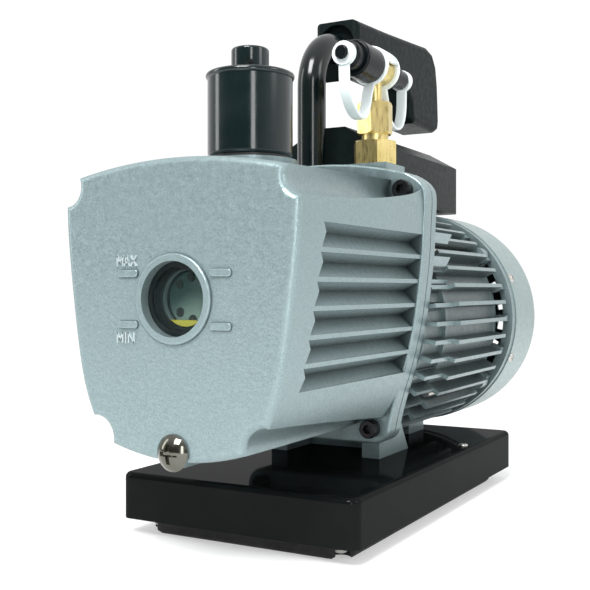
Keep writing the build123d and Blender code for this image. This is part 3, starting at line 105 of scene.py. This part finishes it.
class Shader:
    """A node material under construction."""

    def __init__(self, name):
        self.material = bpy.data.materials.new(name)
        self.material.use_nodes = True
        self.tree = self.material.node_tree
        self.surface = self.tree.nodes["Principled BSDF"]
        self.coords = self.tree.nodes.new("ShaderNodeTexCoord").outputs["Object"]
        self.height = None

    def node(self, kind, **settings):
        """A new node, with each setting given to the input or the property of that name."""
        made = self.tree.nodes.new(kind)
        for key, value in settings.items():
            if key in made.inputs:
                made.inputs[key].default_value = value
            else:
                setattr(made, key, value)
        return made

    def link(self, source, target):
        self.tree.links.new(source, target)

    def stretched(self, scale):
        """Texture coordinates scaled by (x, y, z)."""
        mapping = self.node("ShaderNodeMapping", Scale=scale)
        self.link(self.coords, mapping.inputs["Vector"])
        return mapping.outputs["Vector"]

    def noise(self, scale, detail=3.0, roughness=0.55, stretch=None):
        """Noise from about 0.3 to 0.7."""
        made = self.node("ShaderNodeTexNoise", Scale=scale, Detail=detail, Roughness=roughness)
        self.link(self.stretched(stretch) if stretch else self.coords, made.inputs["Vector"])
        return made.outputs["Fac"]

    def cells(self, scale):
        """The distance from the middle of the nearest of many small cells."""
        made = self.node("ShaderNodeTexVoronoi", Scale=scale)
        self.link(self.coords, made.inputs["Vector"])
        return made.outputs["Distance"]

    def ramp(self, source, low, high, out_low=0.0, out_high=1.0):
        """Maps a value from [low, high] to [out_low, out_high]."""
        made = self.node("ShaderNodeMapRange")
        made.inputs["From Min"].default_value = low
        made.inputs["From Max"].default_value = high
        made.inputs["To Min"].default_value = out_low
        made.inputs["To Max"].default_value = out_high
        self.link(source, made.inputs["Value"])
        return made.outputs["Result"]

    def combine(self, operation, source_a, source_b, clamp=False):
        """A sum or product of two values."""
        made = self.node("ShaderNodeMath", operation=operation, use_clamp=clamp)
        self.link(source_a, made.inputs[0])
        self.link(source_b, made.inputs[1])
        return made.outputs[0]

    def mix(self, factor, colour_a, colour_b):
        """Mixes two colours, each a constant or a socket."""
        made = self.node("ShaderNodeMix", data_type="RGBA")
        self.link(factor, made.inputs["Factor"])
        for key, colour in (("A", colour_a), ("B", colour_b)):
            socket = [s for s in made.inputs if s.name == key and s.type == "RGBA"][0]
            if isinstance(colour, (tuple, list)):
                socket.default_value = (*colour, 1.0)
            else:
                self.link(colour, socket)
        return [s for s in made.outputs if s.type == "RGBA"][0]

    def set(self, key, value):
        """Sets one input of the surface from a constant or a socket."""
        socket = self.surface.inputs[key]
        if isinstance(value, bpy.types.NodeSocket):
            self.link(value, socket)
        elif isinstance(value, (tuple, list)):
            socket.default_value = (*value, 1.0)
        else:
            socket.default_value = value

    def bump(self, source, distance, strength):
        """Adds one layer of relief over those before it."""
        made = self.node("ShaderNodeBump", Strength=strength, Distance=distance)
        self.link(source, made.inputs["Height"])
        if self.height is not None:
            self.link(self.height, made.inputs["Normal"])
        self.height = made.outputs["Normal"]
        self.link(self.height, self.surface.inputs["Normal"])


def cast_paint(name, colour, dark, grain_depth=0.00016, painted_glint=0.5, groove_shade_tone=0.22):
    """Silver paint on a casting: fine pebbling, flake specks painted bright as glints, and painted shade
    down in the grooves.
    """
    s = Shader(name)
    grain = s.ramp(s.noise(FLAKE_SCALE, 2.0), 0.34, 0.66)
    mottling = s.ramp(s.noise(35.0), 0.3, 0.7, 0.0, 0.45)
    base = s.mix(mottling, s.mix(grain, dark, colour), scaled(colour, 0.9))
    # Painted glints: some flakes get a paler colour, standing in for their sparkle.
    glint = s.ramp(s.cells(FLAKE_SCALE), 0.0, 0.36, 1.0, 0.0)
    chosen = s.ramp(s.noise(1300.0, 2.0), 0.5, 0.66, 0.0, painted_glint)
    flake = s.combine("MULTIPLY", glint, chosen)
    # Painted shade: the colour darkens to the dark tone where other walls close in, down in the grooves.
    groove_occlusion = s.node("ShaderNodeAmbientOcclusion", samples=8, only_local=True, Distance=GROOVE_WIDTH)
    unshaded = s.ramp(groove_occlusion.outputs["AO"], 0.25, 0.85)
    painted = s.mix(flake, base, scaled(colour, 1.5))
    s.set("Base Color", s.mix(unshaded, scaled(dark, groove_shade_tone), painted))
    s.set("Metallic", 0.55)
    s.set("Roughness", s.ramp(s.noise(420.0, 2.0), 0.3, 0.7, 0.28, 0.44))
    s.bump(s.noise(PEBBLE_SCALE), grain_depth, 0.6)
    s.bump(s.noise(90.0, 2.0), 0.00025, 0.25)
    return s.material


def gloss_paint(name, colour, roughness, waviness=0.00006, dust=0.004, level=0.3, coat=0.0):
    """Gloss black enamel: slight orange peel, faint dust and softer worn patches."""
    s = Shader(name)
    dusty = s.ramp(s.noise(60.0, 5.0), 0.4, 0.75)
    s.set("Base Color", s.mix(dusty, colour, lifted(colour, dust)))
    s.set("Roughness", s.ramp(s.noise(160.0, 4.0), 0.35, 0.7, roughness, roughness + 0.06))
    s.set("Specular IOR Level", level)
    s.set("Coat Weight", coat)
    s.set("Coat Roughness", 0.06)
    s.bump(s.noise(220.0, 2.0), waviness, 0.35)
    return s.material


def moulded(name, colour, roughness, grain=1500.0, depth=0.00006, variation=0.008, level=0.4):
    """Moulded plastic or rubber with a fine leathery grain."""
    s = Shader(name)
    faded = s.ramp(s.noise(80.0, 4.0), 0.35, 0.7)
    s.set("Base Color", s.mix(faded, colour, lifted(colour, variation)))
    s.set("Roughness", s.ramp(s.noise(300.0), 0.3, 0.7, roughness - 0.06, roughness + 0.08))
    s.set("Specular IOR Level", level)
    s.bump(s.cells(grain), depth, 0.5)
    return s.material


def metal(name, colour, roughness, streaks=EVEN, streak_scale=700.0, depth=0.00003, stain=None):
    """Machined or drawn metal with tool marks that run along the axis with the smallest stretch."""
    s = Shader(name)
    tarnish = s.ramp(s.noise(110.0, 5.0), 0.45, 0.75, 0.0, 0.6)
    s.set("Base Color", s.mix(tarnish, colour, stain or scaled(colour, 0.75)))
    s.set("Metallic", 1.0)
    marks = s.noise(streak_scale, 2.0, 0.5, stretch=streaks)
    s.set("Roughness", s.ramp(marks, 0.3, 0.7, roughness - 0.07, roughness + 0.1))
    s.bump(marks, depth, 0.4)
    return s.material


def clear(name, colour, roughness, transmission, ior, haze=0.0, alpha=1.0):
    """Glass, oil or translucent moulding."""
    s = Shader(name)
    cloud = s.ramp(s.noise(90.0), 0.3, 0.75)
    s.set("Base Color", s.mix(cloud, colour, scaled(colour, 0.94)))
    s.set("Roughness", s.ramp(s.noise(200.0), 0.3, 0.7, roughness, roughness + 0.05 + haze))
    s.set("Transmission Weight", transmission)
    s.set("IOR", ior)
    s.set("Alpha", alpha)
    return s.material


# Each look is a kind of surface, its colour, its roughness or darker colour, and what else differs.
LOOKS = {
    "pad_rubber": (moulded, (0.010, 0.010, 0.010), 0.75, {"grain": 900.0, "depth": 0.0001}),
    "gloss_black": (gloss_paint, (0.004, 0.005, 0.005), 0.3, {"dust": 0.002, "level": 0.0, "coat": 0.14}),
    "zinc_steel": (metal, (0.55, 0.54, 0.51), 0.33, {}),
    "black_screw": (metal, (0.035, 0.035, 0.037), 0.34, {}),
    "cast_silver": (cast_paint, (0.265, 0.345, 0.355), (0.185, 0.25, 0.26),
                    {"grain_depth": 0.0002, "painted_glint": 0.8}),
    "motor_silver": (cast_paint, (0.25, 0.32, 0.33), (0.18, 0.24, 0.25),
                     {"grain_depth": 0.00008, "painted_glint": 0.3, "groove_shade_tone": 0.35}),
    "cover_silver": (cast_paint, (0.28, 0.36, 0.36), (0.25, 0.33, 0.33),
                     {"grain_depth": 0.00003, "painted_glint": 0.15}),
    "gasket": (moulded, (0.06, 0.07, 0.07), 0.8, {"grain": 700.0, "depth": 0.0001}),
    "seal_rubber": (moulded, (0.006, 0.006, 0.007), 0.4, {}),
    "clear_glass": (clear, (0.04, 0.07, 0.065), 0.02, {"transmission": 0.0, "ior": 1.47, "alpha": 0.16}),
    "bright_steel": (metal, (0.72, 0.73, 0.73), 0.22, {}),
    "chrome_plug": (metal, (0.14, 0.14, 0.12), 0.10, {"depth": 0.000008, "stain": (0.09, 0.085, 0.06)}),
    "can_black": (gloss_paint, (0.001, 0.007, 0.008), 0.13,
                  {"waviness": 0.00003, "level": 0.4, "coat": 0.25}),
    "filter_media": (moulded, (0.75, 0.74, 0.70), 0.9, {"grain": 600.0, "depth": 0.0003}),
    "pump_iron": (metal, (0.42, 0.46, 0.44), 0.32, {"streaks": (1.0, 1.0, 0.1), "streak_scale": 900.0}),
    "ground_steel": (metal, (0.58, 0.59, 0.60), 0.25, {"streaks": (1.0, 0.1, 1.0)}),
    "vane_carbon": (moulded, (0.03, 0.028, 0.026), 0.45, {}),
    "lamination": (metal, (0.32, 0.33, 0.36), 0.4, {"streaks": (0.1, 3.0, 0.1), "streak_scale": 900.0}),
    "copper": (metal, (0.72, 0.35, 0.16), 0.3,
               {"streaks": (0.3, 0.3, 2.0), "streak_scale": 500.0, "depth": 0.0001}),
    "fan_plastic": (moulded, (0.02, 0.02, 0.022), 0.45, {}),
    "box_black": (moulded, (0.003, 0.007, 0.007), 0.38,
                  {"grain": 1400.0, "depth": 0.00004, "variation": 0.002, "level": 0.12}),
    "capacitor_shell": (moulded, (0.78, 0.78, 0.75), 0.35, {}),
    "socket_plastic": (moulded, (0.015, 0.015, 0.016), 0.4, {}),
    "rocker_plastic": (gloss_paint, (0.012, 0.012, 0.013), 0.2, {}),
    "tube_black": (gloss_paint, (0.001, 0.004, 0.004), 0.15,
                   {"waviness": 0.00002, "dust": 0.002, "level": 0.4, "coat": 0.1}),
    "grip_black": (moulded, (0.002, 0.006, 0.006), 0.44,
                   {"depth": 0.00004, "variation": 0.002, "level": 0.1}),
    "brass": (metal, (0.70, 0.57, 0.25), 0.3,
              {"streaks": (1.0, 1.0, 0.15), "streak_scale": 900.0, "depth": 0.000008,
               "stain": (0.50, 0.40, 0.12)}),
    "cap_black": (moulded, (0.002, 0.004, 0.005), 0.25,
                  {"depth": 0.00001, "variation": 0.002, "level": 0.16}),
    "strap_clear": (clear, (0.76, 0.83, 0.83), 0.3, {"transmission": 0.0, "ior": 1.4, "haze": 0.1}),
    "oil": (clear, (0.62, 0.60, 0.05), 0.08, {"transmission": 0.15, "ior": 1.47}),
    # The raised words are a paler copy of the casing paint, a painted highlight, with lighter painted
    # shade round them.
    "letter_paint": (cast_paint, (0.50, 0.58, 0.59), (0.42, 0.49, 0.50), {"groove_shade_tone": 0.8}),
    # Painted shade for the ring round the sight glass.
    "ring_shadow": (gloss_paint, (0.006, 0.010, 0.010), 0.3, {"level": 0.2}),
}
looks = {}
for name, (make, colour, second, rest) in LOOKS.items():
    looks[name] = make(name, colour, second, **rest)

# The ring round the sight glass is painted dark, as painted shade, unlike the other parts in its slot.
for name, obj in nodes.items():
    obj.data.materials.clear()
    obj.data.materials.append(looks["ring_shadow" if name == "sight_ring" else slot_of[name]])


# ---------------------------------------------------------------- pieces the CAD leaves out
def add_mesh(name, vertices, faces, slot_name, body=None, smooth=True, material=None):
    """A new piece of the pump in millimetres, finished with the given material, or else with the look of
    one of the record's slots.
    """
    mesh = bpy.data.meshes.new(name)
    mesh.from_pydata([tuple(c * MM for c in v) for v in vertices], [], faces)
    shell = bmesh.new()
    shell.from_mesh(mesh)
    bmesh.ops.recalc_face_normals(shell, faces=shell.faces)
    shell.to_mesh(mesh)
    shell.free()
    if smooth:
        mesh.shade_smooth()
    mesh.materials.append(material or looks[slot_name])
    piece = bpy.data.objects.new(name, mesh)
    bpy.context.scene.collection.objects.link(piece)
    if body:
        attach(piece, body)
    return piece


def merged(name, shapes, slot_name, **settings):
    """One piece from several closed shells, each a list of points and a list of faces."""
    vertices, faces = [], []
    for points, polygons in shapes:
        start = len(vertices)
        vertices += points
        faces += [tuple(start + i for i in polygon) for polygon in polygons]
    return add_mesh(name, vertices, faces, slot_name, **settings)


def tube_faces(rings, sides):
    """Quads between rings of points, and a face over each end."""
    faces = []
    for i in range(rings - 1):
        for j in range(sides):
            k = (j + 1) % sides
            faces.append((i * sides + j, i * sides + k, (i + 1) * sides + k, (i + 1) * sides + j))
    faces.append(tuple(range(sides)))
    faces.append(tuple((rings - 1) * sides + j for j in range(sides)))
    return faces


def centre(low_high):
    """Middle of a box in millimetres."""
    low, high = low_high
    return [(a + b) / 2 / MM for a, b in zip(low, high)]


# Raised level words beside the sight glass: each letter is strokes with rounded ends in a unit square
LETTERS = {
    "M": [[(0, 0), (0, 1), (0.5, 0.35), (1, 1), (1, 0)]],
    "A": [[(0, 0), (0.5, 1), (1, 0)], [(0.2, 0.35), (0.8, 0.35)]],
    "X": [[(0, 0), (1, 1)], [(0, 1), (1, 0)]],
    "I": [[(0.5, 0), (0.5, 1)]],
    "N": [[(0, 0), (0, 1), (1, 0), (1, 1)]],
}
LETTER_HEIGHT = 3.7
WORD_LEFT_X = -26.2
MAX_WORD_Z = 116.0
MIN_WORD_Z = 86.6
STROKE_HALF_WIDTH = LETTER_HEIGHT * 0.1
STROKE_END_POINTS = 5
# Depth in front of or behind the face, and how far the outline shrinks there
STROKE_RINGS = ((0.25, 1.0), (-0.6, 1.0), (-0.8, 0.7))
# The flat face lies this far behind the foremost point of the casing.
FACE_BEHIND_FRONT = 1.3
face_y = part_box("oil_casing")[0][1] / MM + FACE_BEHIND_FRONT


def stroke_outline(start, stop):
    """Points round a stroke with rounded ends, each after the middle of its own end."""
    run_x, run_z = stop[0] - start[0], stop[1] - start[1]
    length = math.hypot(run_x, run_z)
    ux, uz = run_x / length, run_z / length
    outline = []
    for end, first_turn in ((stop, -0.5), (start, 0.5)):
        for j in range(STROKE_END_POINTS):
            turn = math.pi * (j / (STROKE_END_POINTS - 1) + first_turn)
            c, d = math.cos(turn) * STROKE_HALF_WIDTH, math.sin(turn) * STROKE_HALF_WIDTH
            outline.append((end, (end[0] + ux * c - uz * d, end[1] + uz * c + ux * d)))
    return outline


def raised_stroke(start, stop):
    """The closed shell of one stroke on the casing's front."""
    outline = stroke_outline(start, stop)
    vertices = []
    for depth, shrink in STROKE_RINGS:
        for (end_x, end_z), (x, z) in outline:
            vertices.append((end_x + (x - end_x) * shrink, face_y + depth, end_z + (z - end_z) * shrink))
    return vertices, tube_faces(len(STROKE_RINGS), len(outline))


def raised_word(name, word, z, widths, gap):
    """A word in raised strokes on the casing's front."""
    shapes = []
    x = WORD_LEFT_X
    for letter, width in zip(word, widths):
        for stroke in LETTERS[letter]:
            points = [(x + a * width, z + b * LETTER_HEIGHT) for a, b in stroke]
            shapes += [raised_stroke(start, stop) for start, stop in zip(points, points[1:])]
        x += width + gap
    # The words take the paler look: a painted highlight.
    merged(name, shapes, "cast_silver", body="pump", smooth=False, material=looks["letter_paint"])


raised_word("level_word_max", "MAX", MAX_WORD_Z, (2.6, 2.6, 2.4), 0.7)
raised_word("level_word_min", "MIN", MIN_WORD_Z, (2.6, 0.8, 2.6), 1.0)

# What shows behind the sight glass: a mottled plate with dark fixing holes, and the oil's edge
glass_x, glass_y, glass_z = centre(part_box("sight_glass"))
WINDOW_RADIUS = 10.9
PLATE_THICKNESS = 0.4
PLATE_BEHIND_GLASS = 6.5
HOLE_RADIUS = 1.9
HOLE_PLACES = ((-6.0, 5.6), (-0.4, 8.4), (-5.6, -5.2), (0.4, -8.0))
# How far in front of the plate the holes' and the oil's two faces lie
HOLE_FRONT = 0.6
HOLE_BACK = 0.02
OIL_FRONT = 4.4
OIL_BACK = 0.8
OIL_GAP = 0.05
OIL_DROP = 8.0
# A disc's face is sunk behind its rim. Both are a little smaller than its back.
FACE_SUNK = 0.15
FACE_INSET = 0.2
RIM_INSET = 0.35
ROUND_SIDES = 48
plate_y = glass_y + PLATE_BEHIND_GLASS


def disc(name, x, z, radius, front_y, back_y, slot_name, material=None, top=math.inf):
    """A round plate across Y with its face sunk slightly behind its rim, cut off flat at top."""
    vertices = []
    rings = ((front_y + FACE_SUNK, radius - FACE_INSET), (front_y, radius - RIM_INSET), (back_y, radius))
    for y, r in rings:
        for j in range(ROUND_SIDES):
            turn = 2 * math.pi * j / ROUND_SIDES
            vertices.append((x + r * math.cos(turn), y, min(z + r * math.sin(turn), top)))
    faces = tube_faces(len(rings), ROUND_SIDES)
    add_mesh(name, vertices, faces, slot_name, body="pump", smooth=False, material=material)


def plate_look():
    """Wet cast metal seen through glass: dark green above and at the left as painted shade, paler at the
    lower right as painted light, with a faint painted glow.
    """
    s = Shader("sight_backing")
    place = s.node("ShaderNodeSeparateXYZ")
    s.link(s.coords, place.inputs[0])
    across = s.ramp(place.outputs["X"], (glass_x - 9) * MM, (glass_x + 6) * MM, 0.0, 0.5)
    up = s.ramp(place.outputs["Z"], (glass_z - 8) * MM, (glass_z + 3) * MM, 0.5, -0.25)
    lit = s.combine("ADD", across, up, clamp=True)
    colour = s.mix(lit, (0.010, 0.040, 0.034), (0.26, 0.40, 0.35))
    s.set("Base Color", colour)
    s.set("Roughness", s.ramp(s.noise(500.0), 0.3, 0.7, 0.3, 0.5))
    # Painted light: the plate glows faintly in its own colour.
    s.set("Emission Color", colour)
    s.set("Emission Strength", 0.2)
    s.bump(s.noise(400.0), 0.0002, 0.4)
    return s.material


disc("sight_backing", glass_x, glass_z, WINDOW_RADIUS, plate_y, plate_y + PLATE_THICKNESS,
     "pump_iron", plate_look())
# The holes are dark discs in front of the plate: painted shade where the holes are.
for number, (dx, dz) in enumerate(HOLE_PLACES, 1):
    disc(f"sight_hole_{number}", glass_x + dx, glass_z + dz, HOLE_RADIUS,
         plate_y - HOLE_FRONT, plate_y - HOLE_BACK, "seal_rubber")
disc("sight_oil", glass_x, glass_z, WINDOW_RADIUS - OIL_GAP,
     plate_y - OIL_FRONT, plate_y - OIL_BACK, "oil", top=glass_z - OIL_DROP)


# ---------------------------------------------------------------- tether straps
# Soft bands from the collars on the tee down and round to the end rings
STRAP_WIDTH = 5.6
STRAP_THICKNESS = 1.6
STRAP_SIDES = 16
COLLAR_DROP = 8.6
RING_OVERLAP = 0.3
COLLAR_PROFILE_POINTS = 14
SLEEVE_STEPS = 24


def smooth_path(points, steps=10):
    """Points along a Catmull-Rom curve through the given (y, z) points."""
    ends = [points[0]] + points + [points[-1]]
    path = []
    for i in range(1, len(ends) - 2):
        before, start, stop, after = ends[i - 1:i + 3]
        for step in range(steps):
            t = step / steps
            path.append(tuple(
                0.5 * (2 * b + (c - a) * t + (2 * a - 5 * b + 4 * c - d) * t * t
                       + (3 * b - a - 3 * c + d) * t ** 3)
                for a, b, c, d in zip(before, start, stop, after)
            ))
    path.append(points[-1])
    return path


def squared_off(value, power):
    """Bends a sine or cosine so that a circle comes out as a rounded rectangle."""
    return math.copysign(abs(value) ** power, value)


def band(x, points, width, thickness):
    """A flat band with rounded edges that follows (y, z) points in the plane at x."""
    path = smooth_path(points)
    vertices = []
    for i, (y, z) in enumerate(path):
        ya, za = path[max(i - 1, 0)]
        yb, zb = path[min(i + 1, len(path) - 1)]
        length = math.hypot(yb - ya, zb - za)
        ny, nz = -(zb - za) / length, (yb - ya) / length
        for j in range(STRAP_SIDES):
            turn = 2 * math.pi * j / STRAP_SIDES
            across = squared_off(math.cos(turn), 0.5) * width / 2
            out = squared_off(math.sin(turn), 0.7) * thickness / 2
            vertices.append((x + across, y + ny * out, z + nz * out))
    return vertices, tube_faces(len(path), STRAP_SIDES)


def collar(x, z, outer, inner, y0, y1):
    """A ring across Y with rounded edges."""
    middle, half = (outer + inner) / 2, (outer - inner) / 2
    profile = []
    for j in range(COLLAR_PROFILE_POINTS):
        turn = 2 * math.pi * j / COLLAR_PROFILE_POINTS
        radius = middle + squared_off(math.cos(turn), 0.5) * half
        profile.append((radius, (y0 + y1) / 2 + squared_off(math.sin(turn), 0.5) * (y1 - y0) / 2))
    vertices = []
    for i in range(ROUND_SIDES):
        turn = 2 * math.pi * i / ROUND_SIDES
        vertices += [(x + r * math.sin(turn), y, z + r * math.cos(turn)) for r, y in profile]
    count = len(profile)
    faces = []
    for i in range(ROUND_SIDES):
        following = (i + 1) % ROUND_SIDES
        for j in range(count):
            k = (j + 1) % count
            faces.append((i * count + j, i * count + k, following * count + k, following * count + j))
    return vertices, faces


def saddle(x, z, outer, inner, y0, y1, lowest):
    """The upper half of a sleeve across Y, which ends the given height above its axis."""
    end = math.acos(lowest / outer)
    vertices = []
    for i in range(SLEEVE_STEPS + 1):
        turn = -end + 2 * end * i / SLEEVE_STEPS
        for r, y in ((outer, y0), (outer, y1), (inner, y1), (inner, y0)):
            vertices.append((x + r * math.sin(turn), y, z + r * math.cos(turn)))
    return vertices, tube_faces(SLEEVE_STEPS + 1, 4)


def add_straps():
    """Replaces the CAD straps with curved bands that run between the tee and the cap rings."""
    tee_x, _, ring_z = centre(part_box("strap_ring_front"))
    for side, cap_body in (("front", "front_cap_ring"), ("rear", "rear_cap_ring")):
        low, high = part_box("strap_ring_" + side)
        end_y = (low[1] + high[1]) / 2 / MM
        ring_radius = (high[2] - low[2]) / 2 / MM
        ring_edge = (end_y, ring_z - ring_radius + RING_OVERLAP)
        if side == "front":
            shapes = [collar(tee_x, ring_z, outer=9.7, inner=6.5, y0=-11.6, y1=-9.6)]
            route = [(-10.6, ring_z - COLLAR_DROP), (-13.6, 202.0), (-15.6, 196.0), (-18.4, 190.6),
                     (-23.0, 188.4), (-29.0, 189.6), (-34.5, 193.8), (end_y + 0.8, 201.0), ring_edge]
        else:
            shapes = [collar(tee_x, ring_z, outer=9.6, inner=5.7, y0=2.8, y1=4.4)]
            route = [(3.6, ring_z - COLLAR_DROP), (6.0, 200.5), (8.8, 193.6), (13.6, 189.8),
                     (19.5, 189.4), (25.0, 192.4), (end_y - 0.6, 200.0), ring_edge]
        shapes.append(band(tee_x, route, STRAP_WIDTH, STRAP_THICKNESS))
        if side == "front":
            shapes.append(saddle(tee_x, ring_z, outer=9.7, inner=8.0, y0=-9.9, y1=2.3, lowest=2.0))
        strap = merged("strap_soft_" + side, shapes, "strap_clear")
        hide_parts("strap_" + side)
        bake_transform(strap)


add_straps()


# ---------------------------------------------------------------- floor and light
FLOOR_REACH = 4.0
FLOOR_TONES = ((0.62, 0.62, 0.62), (0.64, 0.64, 0.64))
FLOOR_GLOW = 0.42
WORLD_TILT = 0.7
WORLD_DARKEST = 0.2
WORLD_BRIGHTEST = 1.05
# Name, place, what it is aimed at, width, height and power in watts
LIGHTS = (
    ("key", (0.1, -0.95, 1.2), (0, -0.05, 0.1), 0.6, 0.6, 26.0),
    ("side", (1.3, 0.1, 0.8), (0, 0, 0.1), 0.4, 0.6, 3.0),
    ("left", (-1.2, -0.6, 0.6), (0, 0, 0.15), 0.3, 0.9, 3.5),
    ("strip", (0.8, -1.05, 0.4), (0, 0, 0.15), 0.22, 0.8, 4.2),
)


def add_floor():
    """A pale floor that glows a little, so that it runs into the background."""
    shader = Shader("studio_floor")
    shader.set("Base Color", shader.mix(shader.noise(3.0), *FLOOR_TONES))
    shader.set("Roughness", 0.9)
    shader.set("Emission Color", (1.0, 1.0, 1.0))
    shader.set("Emission Strength", FLOOR_GLOW)
    mesh = bpy.data.meshes.new("floor")
    corners = [(x * FLOOR_REACH, y * FLOOR_REACH, 0) for x, y in ((-1, -1), (1, -1), (1, 1), (-1, 1))]
    mesh.from_pydata(corners, [], [(0, 1, 2, 3)])
    mesh.materials.append(shader.material)
    floor = bpy.data.objects.new("floor", mesh)
    bpy.context.scene.collection.objects.link(floor)


def add_world():
    """A background that is brightest above and behind the pump."""
    world = bpy.data.worlds.new("studio")
    world.use_nodes = True
    tree = world.node_tree
    background = tree.nodes["Background"]
    direction = tree.nodes.new("ShaderNodeTexCoord")
    parts = tree.nodes.new("ShaderNodeSeparateXYZ")
    tree.links.new(direction.outputs["Generated"], parts.inputs[0])
    height = tree.nodes.new("ShaderNodeMath")
    height.operation = "MULTIPLY_ADD"
    height.inputs[1].default_value = WORLD_TILT
    tree.links.new(parts.outputs["Z"], height.inputs[0])
    tree.links.new(parts.outputs["Y"], height.inputs[2])
    spread = tree.nodes.new("ShaderNodeMapRange")
    spread.inputs["From Min"].default_value = -0.7
    spread.inputs["From Max"].default_value = 0.5
    spread.inputs["To Min"].default_value = WORLD_DARKEST
    spread.inputs["To Max"].default_value = WORLD_BRIGHTEST
    tree.links.new(height.outputs[0], spread.inputs["Value"])
    tree.links.new(spread.outputs["Result"], background.inputs["Strength"])
    background.inputs["Color"].default_value = (1.0, 1.0, 1.0, 1.0)
    bpy.context.scene.world = world


def add_lights():
    """Large soft lights round the pump."""
    for name, place, target, width, tall, energy in LIGHTS:
        data = bpy.data.lights.new(name, "AREA")
        data.shape = "RECTANGLE"
        data.size = width
        data.size_y = tall
        data.energy = energy
        light = bpy.data.objects.new(name, data)
        light.location = place
        light.rotation_euler = (Vector(target) - Vector(place)).to_track_quat("-Z", "Y").to_euler()
        bpy.context.scene.collection.objects.link(light)


bpy.context.scene.view_settings.view_transform = "Standard"
add_floor()
add_world()
add_lights()
